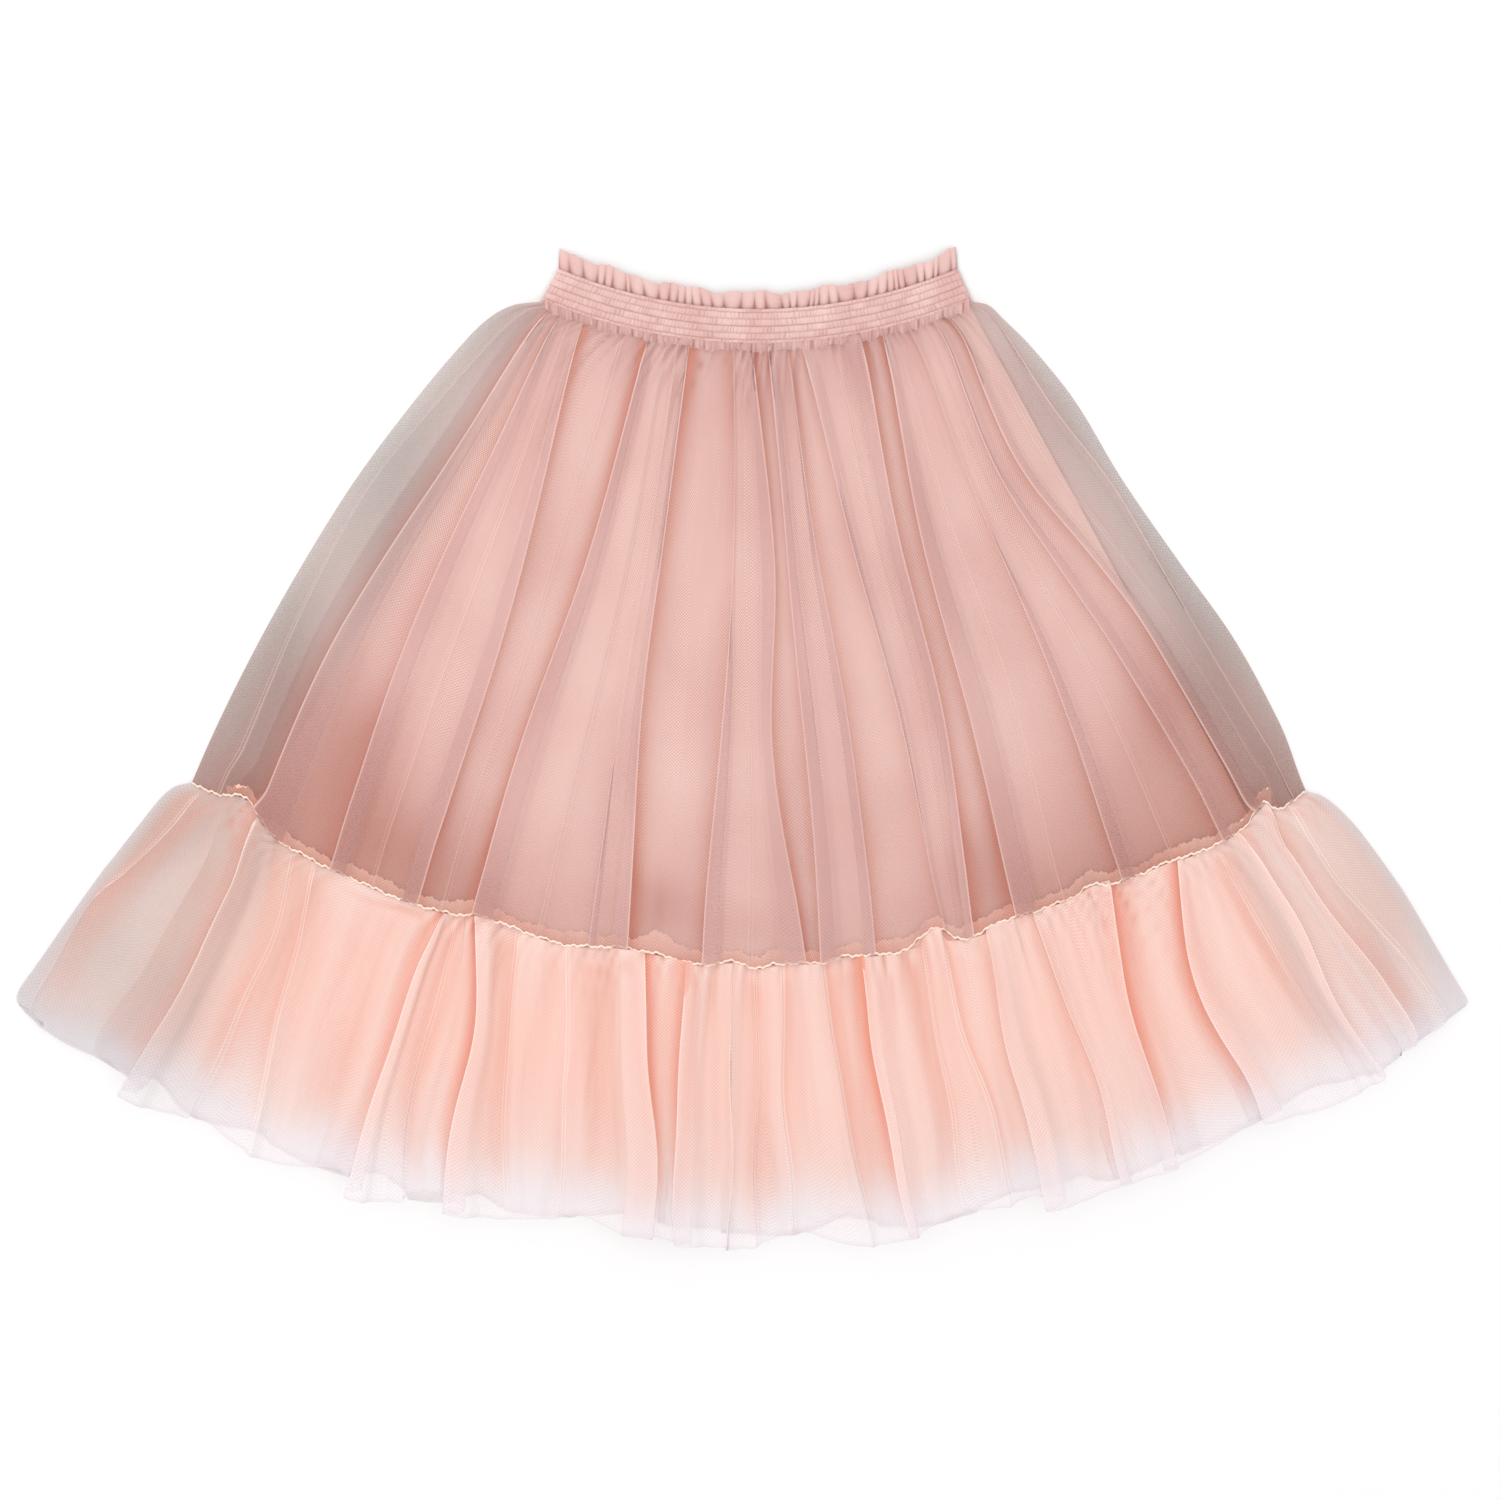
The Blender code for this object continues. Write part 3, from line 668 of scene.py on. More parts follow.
NET_CELLS_PER_METRE = 1000

# The colours of one kind of net, each from 0 to 255: of the cloth, the painted highlight of its
# folded edges, its sheer hem, the painted shade of its sides where nothing lies behind it, its
# painted shadows and the painted shade in its openings. cover and hem_cover are how much one
# layer hides.
Net = namedtuple("Net", "cloth edge hem side dark glow cover hem_cover")
HEM_LINE = (0.60, 0.52, 0.58, 1.0)
HEM_SHADE = srgb(214, 209, 212)

# What a veil, a folded edge and a cut edge add to the net's cover, the most that it covers, and
# its share of cover where the cloth stands upright, with the levels between which that changes.
VEIL_COVER = 0.5
EDGE_COVER = 0.38
CUT_COVER = 0.4
MOST_COVER = 0.97
UPRIGHT_COVER = 0.45
UPRIGHT_LEVEL = 0.15
FLAT_LEVEL = 0.6


def tulle(name, net):
    """Sheer net, coloured and thickened by the sheet's fields."""
    cloth, edge, hem, side, dark, glow = (srgb(*colour) for colour in net[:6])
    shader = Shader(name)
    thread = shader.net(NET_CELLS_PER_METRE)
    streak = shader.noise(95, 5, 1.0)
    cloud = shader.noise(22, 9, 0.0)
    dense, bend, side_shade = (shader.field(field) for field in ("dense", "bend", "side_shade"))
    # side_shade greys the net with painted shade where nothing lies behind it.
    base = shader.mix(side_shade, cloth, side)
    # Painted colours: shade and glow paint shade, bend paints a highlight on folded edges, and cloud
    # lightens the net at random.
    for share, colour in (
        (shader.spread(cloud, 0.35, 0.7, 0.0, 0.3), edge),
        (shader.field("shade"), dark),
        (shader.field("glow"), glow),
        (shader.spread(bend, 0.0, 1.0, 0.0, 0.85), edge),
    ):
        base = shader.mix(share, base, colour)
    pale = shader.mix(shader.spread(side_shade, 0.0, 0.5), hem, HEM_SHADE)
    base = shader.mix(shader.field("cut"), shader.mix(dense, pale, base), HEM_LINE)
    alpha = shader.spread(dense, 0.0, 1.0, net.hem_cover, net.cover)
    for operation, value in (
        ("ADD", shader.math("MULTIPLY", shader.field("veil"), VEIL_COVER)),
        ("ADD", shader.spread(streak, 0.3, 0.7, -0.03, 0.04)),
        ("MULTIPLY", shader.spread(thread, 0.0, 1.0, 0.9, 1.12)),
        ("ADD", shader.math("MULTIPLY", bend, EDGE_COVER)),
        ("ADD", shader.math("MULTIPLY", shader.field("cut"), CUT_COVER)),
        ("MULTIPLY", shader.spread(shader.level(), UPRIGHT_LEVEL, FLAT_LEVEL, UPRIGHT_COVER, 1.0)),
    ):
        alpha = shader.math(operation, alpha, value)
    alpha = shader.math("MINIMUM", alpha, MOST_COVER, clamp=True)
    shader.bump(thread, 0.0001, 0.3)
    shader.surface.inputs["Sheen Tint"].default_value = edge
    return shader.finish(base, shader.spread(streak, 0.2, 0.8, 0.7, 0.85), 0.2, alpha)


def woven(name, colour, light, dark, threads_per_metre):
    """Fine plain-woven cloth. Its field shade darkens it."""
    colour, light, dark = srgb(*colour), srgb(*light), srgb(*dark)
    shader = Shader(name)
    weave = shader.weave(threads_per_metre, 1.2)
    slub = shader.noise(20, 900)
    cloud = shader.noise(24, 18)
    base = shader.mix(shader.spread(cloud, 0.3, 0.7), colour, light)
    base = shader.mix(shader.spread(slub, 0.35, 0.75, 0.0, 0.3), base, light)
    base = shader.mix(shader.field("shade"), base, dark)
    shader.bump(shader.math("ADD", weave, slub), 0.00015, 0.5)
    return shader.finish(base, shader.spread(slub, 0.2, 0.8, 0.62, 0.8), 0.1)


tulle_cloth = tulle("tulle_cloth", Net(
    cloth=(214, 172, 168), edge=(244, 214, 208), hem=(214, 172, 168), side=(190, 178, 174),
    dark=(172, 112, 100), glow=(212, 142, 124), cover=0.42, hem_cover=0.42,
))
# The back lies under the front: a darker copy of the net, with its colours painted in shade.
shaded_tulle_back_cloth = tulle("shaded_tulle_back_cloth", Net(
    cloth=(206, 162, 154), edge=(224, 194, 188), hem=(206, 162, 154), side=(176, 166, 160),
    dark=(140, 104, 92), glow=(190, 130, 116), cover=0.56, hem_cover=0.56,
))
flounce_cloth = tulle("flounce_cloth", Net(
    cloth=(255, 222, 213), edge=(255, 236, 230), hem=(245, 236, 240), side=(204, 180, 172),
    dark=(230, 160, 140), glow=(248, 166, 142), cover=0.48, hem_cover=0.44,
))
inner_flounce_cloth = tulle("inner_flounce_cloth", Net(
    cloth=(255, 210, 195), edge=(255, 226, 216), hem=(255, 228, 218), side=(226, 194, 180),
    dark=(238, 162, 140), glow=(244, 156, 130), cover=0.72, hem_cover=0.0,
))
lining_cloth = woven("lining_cloth", (240, 204, 193), (248, 218, 207), (196, 128, 110), 900)
band_cloth = woven("band_cloth", (224, 182, 176), (236, 202, 196), (178, 124, 118), 1000)
allowance_cloth = woven("allowance_cloth", (252, 196, 174), (255, 220, 202), (222, 150, 126), 900)
heading_cloth = woven("heading_cloth", (254, 226, 206), (255, 240, 226), (244, 190, 166), 900)


# The skirt

def outside_lining(x, y, start=-30.0, end=45.0):
    """0 over the lining, rising to 1 outside its sides, where nothing lies behind the net."""
    return ramp(np.abs(x) - inner_reach(x, y), start, end - start)


# Small gathers at a seam: how many there are, how high they stand and where their waves start.
# They fade over reach of the panel's length, or up to twice swing more, in slow waves across it.
Gathers = namedtuple("Gathers", "count rise phase reach swing waves shift")
WAIST_PUCKERS = Gathers(58, 1.3, 0.7, 0.022, 0.022, 13, 1.0)
WAIST_GATHERS = Gathers(37, 1.2, 2.9, 0.05, 0.045, 29, 2.0)
FLOUNCE_PUCKERS = Gathers(104, 1.1, 2.2, 0.06, 0.08, 23, 2.0)
FLOUNCE_GATHERS = Gathers(67, 0.8, 1.7, 0.1, 0.09, 19, 0.8)
WAIST_PUFF = 1.6
SKIRT_RIM = 16.0
# How the rows of points close up towards the panel's top, and how far its pleats wander.
SKIRT_ROWS_POWER = 1.25
SKIRT_WANDER = 1.2


def puckers(across, count, phase):
    """Small gathers of uneven width, from -1 to 1."""
    bent = across + 0.013 * np.sin(9 * across + phase) + 0.006 * np.sin(31 * across)
    return np.sin(np.pi * count * bent + phase) * (0.7 + 0.3 * np.sin(17 * across + 2 * phase))


def gathers_at(gathers, across, down):
    """How much is left of a seam's gathers at each point, and their waves from -1 to 1."""
    reach = gathers.reach + gathers.swing * (1 + np.sin(gathers.waves * across + gathers.shift))
    return np.exp(-down / reach), puckers(across, gathers.count, gathers.phase)


def pleated_panel(sections, pleats, along, middle_y, wander):
    """A panel's columns, and for each point its share across, X, Y and distance from the side."""
    arcs = Arcs(sections, along)
    left, right = (arcs.place(side, middle_y)[0][:, 0] for side in (-1.0, 1.0))
    columns = Pleated(pleats, along, left, right, wander)
    across = arcs.across(columns.x)
    return columns, across, *arcs.place(across, middle_y), (1 - np.abs(across)) * arcs.half


def low_corner(across, down):
    """1 low down at the sides, where the net lies in the shade of the folds over it."""
    out = np.abs(across)
    lower = ramp(down + 0.5 * np.maximum(0, out - 0.55), 0.77, 0.22)
    return lower * ramp(out, 0.3, 0.3) * (1 - 0.5 * ramp(out, 0.9, 0.08))


def skirt_sheet(name, pleats, height, material, row_count, flat=1.0):
    """A front or back of the sheer skirt. flat under 1 presses its pleats down."""
    along = np.linspace(0, 1, row_count) ** SKIRT_ROWS_POWER
    down = along[:, None]
    middle_y = WAIST_SEAM_Y - SKIRT_LENGTH * down
    columns, across, x, y, inset = pleated_panel(
        SKIRT_SECTIONS, pleats, along, middle_y, SKIRT_WANDER
    )
    y = y - sag_above(x, down)
    z = height(across, down) + columns.rise * (0.3 + 0.7 * ramp(down, 0, 0.08)) * flat
    run = cloth_run(x, z, int(0.6 * row_count))
    quiet = ramp(down, 0, 0.1) * smooth_step((1.02 - down) / 0.1)
    z = z + flat * quiet * ripples_of(LOOSE_RIPPLES, run, down) * (1 - np.abs(across) ** 4)
    tight, pucker = gathers_at(WAIST_PUCKERS, across, down)
    long, gather = gathers_at(WAIST_GATHERS, across, down)
    long = long * ramp(down, 0, 0.02)
    puff = WAIST_PUFF * np.exp(-down / 0.03)
    inside = 1 - np.abs(across) ** 6
    z = z + flat * (WAIST_PUCKERS.rise * tight * pucker + puff) * inside
    z = np.maximum(z + flat * WAIST_GATHERS.rise * long * gather * inside, BACK.base)
    outside = outside_lining(x, y)
    # opened paints shade into the openings below the waist. shade is painted shade in the troughs of
    # the puckers and gathers, above the seam, low at the sides, in these openings and low outside the
    # lining.
    opened = columns.glow * ramp(down, 0, 0.03) * np.exp(-down / 0.15)
    shade = 0.5 * tight * clipped(-pucker) + 0.14 * ramp(down, 0.86, 0.14)
    shade = shade + 0.42 * low_corner(across, down) + 0.85 * long * clipped(-gather) ** 5
    shade = shade + 0.9 * opened + 0.34 * outside * down**3
    thin = 0.35 * (1 - smooth_step(inset / SKIRT_RIM))
    strength = 0.65 + 0.5 * np.exp(-down / 0.14) + 0.4 * ramp(down, 0.6, 0.35)
    # bend thickens the net on folded edges and paints a highlight there, glow is painted shade beside
    # them, and side_shade is painted shade where nothing lies behind the net.
    fields = {
        "bend": columns.bend * ramp(down, 0, 0.05),
        "glow": columns.glow * ramp(down, 0, 0.02) * strength,
        "shade": np.clip(shade, 0, 0.8),
        "side_shade": outside,
        "veil": 0.75 * np.exp(-down / 0.07) + 0.35 * outside * down**2 + 0.6 * opened - thin,
        "dense": 1.0,
    }
    return make_sheet(name, x, y, z, run, -SKIRT_LENGTH * down, fields, material)


# Painted shade of a soft fold of the lining, seen through the net as a darker place: where it lies,
# how wide and tall it is, and how deep its painted shade is.
FoldShade = namedtuple("FoldShade", "x y width height depth")
LINING_FOLD_SHADES = table(FoldShade, (
    (-50, -96, 18, 20, 0.60),
    (-232, 0, 24, 42, 0.40),
    (252, 30, 24, 45, 0.25),
    (135, -72, 17, 24, 0.35),
    (-190, -62, 40, 22, 0.20),
    (12, -108, 26, 11, 0.20),
))


def fold_shades(x, y):
    shade = np.zeros_like(x)
    for fold in LINING_FOLD_SHADES:
        away = ((x - fold.x) / fold.width) ** 2 + ((y - fold.y) / fold.height) ** 2
        shade = shade + fold.depth * np.exp(-away)
    return shade


OPENING_FADE = 6.5


def opening_shade(x, along, pleats):
    """How deep the painted shade on the lining is beside each pleat's edge, with the pleats' openings.
    """
    shade = np.zeros_like(x)
    for pleat in pleats:
        edge = curve_through(PLEAT_LEVELS, pleat[:4], along)[:, None]
        away = (x - edge) * pleat.lean
        beside = np.exp(-np.maximum(away, 0) / OPENING_FADE) * ramp(away, -3, 3)
        at_ends = 1 + 0.7 * np.exp(-along / 0.14) + 0.6 * ramp(along, 0.6, 0.3)
        shade = np.maximum(shade, 0.5 * pleat.gap * beside * at_ends[:, None])
    return shade


LINING_RIPPLES = table(Ripple, ((95, 0.6, 1, 1.5), (48, 0.3, 3, 2.2)))
LINING_CUT_WIDTH = 610
LINING_ROWS = 90
LINING_COLUMNS = 300


def inner_panel(sections, along, middle_y, column_count, lean=0.0):
    """The share across of each column between the inner layers' sides, and each point's X and Y."""
    arcs = Arcs(sections, along)
    left, right = inner_sides(arcs, middle_y)
    share = np.linspace(-1, 1, column_count)[None, :]
    return share, *arcs.place(left + (right - left) * (share + 1 + lean) / 2, middle_y)


def lining_sheet(name, layer, material, shaded):
    along = np.linspace(0, 1, LINING_ROWS)
    down = along[:, None]
    middle_y = WAIST_SEAM_Y - SKIRT_LENGTH * down
    share, x, y = inner_panel(SKIRT_SECTIONS, along, middle_y, LINING_COLUMNS)
    y = y - sag_above(x, down)
    run = np.linspace(0, LINING_CUT_WIDTH, LINING_COLUMNS)
    soft = 0.8 * ripples_of(LINING_RIPPLES, run, 3 * down)
    z = layer.base + (layer.loft + soft) * loft_share(share, down)
    # Painted shade: darker towards the seam and the waist and low at the sides, and, on the front,
    # beside the pleats' edges and at the lining's soft folds.
    low = ramp(down + 0.05 * np.sin(run / 31), 0.84, 0.15)
    shade = 0.25 * low + 0.25 * np.exp(-down / 0.05) + 0.42 * low_corner(share, down)
    if shaded:
        shade = shade + opening_shade(x, along, SKIRT_PLEATS) + fold_shades(x, y)
    fields = {"shade": np.clip(shade, 0, 0.9)}
    return make_sheet(name, x, y, z, run, -SKIRT_LENGTH * down, fields, material)


def pressed_pleats(pleats, shift):
    """The same kind of pleats for a side that lies underneath: set off sideways and lying over
    the other way."""
    return [
        pleat._replace(
            top=pleat.top + 0.3 * shift, upper=pleat.upper + 0.7 * shift,
            lower=pleat.lower + 0.8 * shift, foot=pleat.foot + shift,
            rise_top=0.8, rise_foot=1.1, lean=-pleat.lean,
        )
        for pleat in pleats[1:-1]
    ]


FRONT_ROWS = 130
BACK_ROWS = 60

skirt_front = skirt_sheet("tulle_skirt_front", SKIRT_PLEATS, front_height, tulle_cloth, FRONT_ROWS)
skirt_back = skirt_sheet(
    "tulle_skirt_back", pressed_pleats(SKIRT_PLEATS, 4.0),
    lambda across, down: BACK.base, shaded_tulle_back_cloth, BACK_ROWS, flat=0.6,
)
lining_front = lining_sheet("lining_front_cloth", INNER_FRONT, lining_cloth, True)
lining_back = lining_sheet("lining_back_cloth", INNER_BACK, lining_cloth, False)
for piece, slot, node in (
    (skirt_front, "tulle", "skirt_front"), (skirt_back, "tulle", "skirt_back"),
    (lining_front, "lining", "lining_front"), (lining_back, "lining", "lining_back"),
):
    dress(piece, slot, node)


# The flounce

# The strips beside its cut edge and its sides where the flounce is sheer, and how much paler its
# lower half is.
SHEER_HEM = 37.0
SHEER_SIDE = 8.0
HEM_PALING = 0.22
# As for the skirt: how its rows close up towards its top, and how far its pleats wander.
FLOUNCE_ROWS_POWER = 1.15
FLOUNCE_WANDER = 2.2
FLOUNCE_FRONT_ROWS = 74
FLOUNCE_BACK_ROWS = 44


def sheer_hem(name, run, drop, depth):
    """1 where the flounce is full, fading to 0 in the sheer strip along its cut edge."""
    phase = len(name)
    uneven = 5 * np.sin(run / 19 + phase) + 3.5 * np.sin(run / 7.3 + 2 * phase)
    uneven = uneven + 2 * np.sin(run / 2.9 + phase)
    start, end = depth - SHEER_HEM + uneven, depth - 3 + 0.4 * uneven
    paling = 1 - HEM_PALING * ramp(drop / depth, 0.5, 0.3)
    return paling * (1 - ramp(drop, start, end - start))


LEFT_CORNER = 22.0
RIGHT_CORNER = 8.0
CORNER_SPREAD = 70.0
CORNER_SWING = 0.5
CORNER_POWER = 2.6


def corner_inset(x, inset, down):
    """How far the panel's side curves in at its foot, after a slight swing out, where this is
    below 0. The cloth beside it follows, less and less."""
    radius = np.where(x < 0, LEFT_CORNER, RIGHT_CORNER)
    turned = clipped(1 - (1 - down) * FLOUNCE_DEPTH / radius)
    rounding = turned**CORNER_POWER - CORNER_SWING * down**3
    return radius * rounding * clipped(1 - inset / CORNER_SPREAD)


def flounce_side_shade(x, y):
    """How grey the flounce is, from 0 to 1: more of its left side lies in the shade."""
    return np.where(x < 0, outside_lining(x, y, -150, 60), 0.75 * outside_lining(x, y, -30, 90))


def flounce_sheet(name, pleats, height, hang, material, row_count, flat=1.0):
    """A front or back of the flounce. flat under 1 presses its pleats down."""
    along = np.linspace(0, 1, row_count) ** FLOUNCE_ROWS_POWER
    down = along[:, None]
    middle_y = FLOUNCE_TOP_Y - FLOUNCE_DEPTH * down
    columns, across, x, y, inset = pleated_panel(
        FLOUNCE_SECTIONS, pleats, along, middle_y, FLOUNCE_WANDER
    )
    y = y - hang(columns.order) * down**2 - 0.2 * columns.rise * down**3
    x = x - np.sign(x) * corner_inset(x, inset, down)
    y = y - sag_below(columns.order, down)
    z = height(across) + columns.rise * (0.45 + 0.55 * ramp(down, 0, 0.2)) * flat
    run = cloth_run(x, z, int(0.5 * row_count))
    ripple = ripples_of(FLOUNCE_RIPPLES, run, down)
    z = z + flat * ripple * (1 - np.abs(across) ** 4)
    tight, pucker = gathers_at(FLOUNCE_PUCKERS, across, down)
    long, gather = gathers_at(FLOUNCE_GATHERS, across, down)
    inside = 1 - np.abs(across) ** 6
    z = z + flat * FLOUNCE_PUCKERS.rise * tight * pucker * inside
    z = np.maximum(z + flat * FLOUNCE_GATHERS.rise * long * gather * inside, BACK.base)
    cut_edge = np.exp(-(1 - down) * FLOUNCE_DEPTH / 1.2)
    rim = ramp(inset, SHEER_SIDE * ramp(down, 0.5, 0.5), 8)
    dense = sheer_hem(name, run, FLOUNCE_DEPTH * down, FLOUNCE_DEPTH) * (0.35 + 0.65 * rim)
    # creases and valley are painted shade in the gathers' creases and the ripples' valleys. bend
    # thickens the net on folded edges and paints a highlight there, and glow is painted shade beside
    # them.
    creases = 0.55 * long * clipped(-gather) ** 4
    valley = 0.45 * clipped(-ripple / 2.2) * ramp(down, 0, 0.1)
    fields = {
        "bend": columns.bend * ramp(down, 0, 0.04),
        "cut": 0.45 * cut_edge,
        "glow": columns.glow,
        "shade": np.clip(0.5 * tight * clipped(-pucker) + valley + creases, 0, 0.8),
        "side_shade": flounce_side_shade(x, y) * (1 - 0.6 * ramp(down, 0.6, 0.4)),
        "veil": 0.5 * np.exp(-down / 0.08) + 0.3 * outside_lining(x, y, 0, 60),
        "dense": dense,
    }
    return make_sheet(name, x, y, z, run, -FLOUNCE_DEPTH * down, fields, material)


INNER_FLOUNCE_ROWS = 60
INNER_FLOUNCE_COLUMNS = 620
INNER_FLOUNCE_RUN = 1050
INNER_FOLD_LENGTH = 61
LOBE_SHARE = 0.55


def inner_flounce_sheet(name, layer, lift, depth, phase, material):
    """A layer of the inner flounce, which thins out towards its sides and its lower edge."""
    along = np.linspace(0, 1, INNER_FLOUNCE_ROWS)
    down = along[:, None]
    drop = depth * down
    run = np.linspace(0, INNER_FLOUNCE_RUN, INNER_FLOUNCE_COLUMNS)
    folds = table(Ripple, (
        (INNER_FOLD_LENGTH, 0.9, phase, 1.3), (27, 0.6, 2 * phase, 2.0), (12, 0.3, phase, 3.0),
    ))
    wave = ripples_of(folds, run, down)
    lean = 0.006 * np.sin(2 * np.pi * run / INNER_FOLD_LENGTH + phase + 1.5) * down
    beside_flounce = along * depth / FLOUNCE_DEPTH
    share, x, y = inner_panel(
        FLOUNCE_SECTIONS, beside_flounce, FLOUNCE_TOP_Y - drop, INNER_FLOUNCE_COLUMNS, lean
    )
    y = y - sag_below(x, down)
    y = y - LOBE_SHARE * hem_hang(x) * down**2
    z = layer.base + (layer.loft + lift + 0.9 * wave) * loft_share(share, 1.0)
    side = smooth_step((1 - np.abs(share)) * 9)
    # beside_folds is painted shade beside the flounce's pleats. bend paints a highlight on the crests
    # of the waves, and shade paints shade in their troughs.
    beside_folds = 1.4 * opening_shade(x, beside_flounce, FLOUNCE_PLEATS)
    fields = {
        "bend": 0.15 * clipped(wave),
        "glow": beside_folds * (1 - 0.85 * ramp(down, 0.5, 0.4)),
        "shade": 0.3 * clipped(-wave),
        "side_shade": 1 - side,
        "dense": sheer_hem(name, run, drop, depth) * (0.1 + 0.9 * side),
    }
    return make_sheet(name, x, y, z, run, -drop, fields, material)


def back_hem_hang(x):
    """The back's own lobes, which show a little between the front's and join them at the sides."""
    at_side = ramp(np.abs(x), 370, 40)
    return (1 - at_side) * (0.8 * hem_hang(x - 30.0) - 3.0) + at_side * hem_hang(x)


flounce_front = flounce_sheet(
    "tulle_flounce_front", FLOUNCE_PLEATS, lambda across: front_height(across, 1.0),
    hem_hang, flounce_cloth, FLOUNCE_FRONT_ROWS,
)
flounce_back = flounce_sheet(
    "tulle_flounce_back", pressed_pleats(FLOUNCE_PLEATS, 5.0),
    lambda across: BACK.base, back_hem_hang, flounce_cloth, FLOUNCE_BACK_ROWS, flat=0.5,
)
dress(flounce_front, "flounce_tulle", "flounce_front")
dress(flounce_back, "flounce_tulle", "flounce_back")
inner_flounces = [
    inner_flounce_sheet(name, layer, lift, depth, phase, inner_flounce_cloth)
    for name, layer, lift, depth, phase in (
        ("inner_flounce_front_over", INNER_FRONT, 1.4, INNER_FLOUNCE_DEPTH + 12, 0.5),
        ("inner_flounce_front_under", INNER_FRONT, 0.2, INNER_FLOUNCE_DEPTH + 6, 2.4),
        ("inner_flounce_back", INNER_BACK, 0.2, INNER_FLOUNCE_DEPTH + 9, 4.1),
    )
]
for piece, node in zip(inner_flounces, ("front", "front", "back")):
    dress(piece, "lining", f"under_flounce_{node}")


# The waistband and its frill

def band_ends(share):
    """How flat a tube is at this share across: 1 in the middle and 0 where front meets back."""
    return np.sqrt(np.clip(1 - np.abs(share) ** 10, 0, 1))


TUBE_BACK_COLUMNS = 420


def around_tube(front_columns):
    """The share across of each column, over a tube's front and then back under it, and whether
    it lies in the front."""
    front = np.linspace(-1, 1, front_columns)
    back = np.linspace(1, -1, TUBE_BACK_COLUMNS)[1:-1]
    share = np.concatenate((front, back))[None, :]
    return share, np.arange(share.size)[None, :] < front_columns


def tube_height(thickness, share, is_front, front_rise, back_rise):
    """The height of a tube that lies flat: its front and back meet half way up at its ends."""
    half = thickness / 2
    bulge = half * band_ends(share)
    return np.where(is_front, half + bulge + front_rise, half - bulge + back_rise)


# How far up the band each row of stitches runs. There is a rib between each row and the next.
STITCH_ROWS_UP = (0.0, 0.11, 0.30, 0.50, 0.70, 0.89, 1.0)
BAND_GATHERS = 104
BAND_ROWS = 55
BAND_COLUMNS = 900
BAND_RUN = 720
BAND_CUT_HEIGHT = 34
RIB_RISE = 0.7
GATHER_RISE = 0.30


def between_stitches(up):
    """The number of the rib at each height up the band, and how far across that rib it is."""
    rows = np.array(STITCH_ROWS_UP)
    rib = np.clip(np.searchsorted(rows, up, side="right") - 1, 0, len(rows) - 2)
    return rib, (up - rows[rib]) / (rows[rib + 1] - rows[rib])


def band_sheet():
    """The shirred tube: puffed ribs crossed by fine gathers, with a groove at each stitch row."""
    up = np.linspace(0, 1, BAND_ROWS)[:, None]
    arcs = Arcs(BAND_SECTIONS, up[:, 0])
    share, is_front = around_tube(BAND_COLUMNS)
    x, y = arcs.place(share, BAND_Y + BAND_HEIGHT * up)
    rib, height_in_rib = between_stitches(up)
    puffed = np.sqrt(clipped(np.sin(np.pi * height_in_rib)))
    drift = 0.02 * np.sin(5 * share + 9 * up) + 0.012 * np.sin(23 * share + 4 * rib)
    drift = drift + 0.05 * np.sin(41 * share + 5.3 * rib) + 0.03 * np.sin(97 * share + 2.9 * rib)
    gather = np.sin(np.pi * BAND_GATHERS * (share + 0.12 * drift) + 0.8 * rib)
    strength = 0.55 + 0.25 * np.sin(37 * share + 3 * rib) + 0.2 * np.sin(71 * share + 5 * rib)
    puff = puffed * (RIB_RISE + GATHER_RISE * gather * strength)
    z = tube_height(BAND_THICKNESS, share, is_front, puff * band_ends(share) - 0.3, 0.1)
    y = y + 0.3 * np.sin(61 * share + 2 * rib) * puffed
    patch = np.sin(19 * share + 2.3 * rib) * np.sin(43 * share + 1.1 * rib)
    shade = 0.6 * (1 - puffed) ** 2 + 0.42 * clipped(-gather) * puffed * strength + 0.1 * patch
    shade = shade + 0.15 * (1 - up) ** 2
    run = np.linspace(0, BAND_RUN, share.size)
    fields = {"shade": np.clip(shade, 0, 0.8)}
    band = make_sheet(
        "shirred_waistband", x, y, z, run, BAND_CUT_HEIGHT * up, fields, band_cloth, joined=True
    )
    return dress(band, "band", "waistband")


FRILL_PUFFS = 40
FRILL_RISE = 1.7
FRILL_ROWS = 14
FRILL_COLUMNS = 1100
FRILL_RUN = 900
FRILL_WAVES = table(Ripple, ((83, 1.0, 1.9, 0), (37, 0.7, 0.3, 0), (11, 0.35, 2.0, 0)))


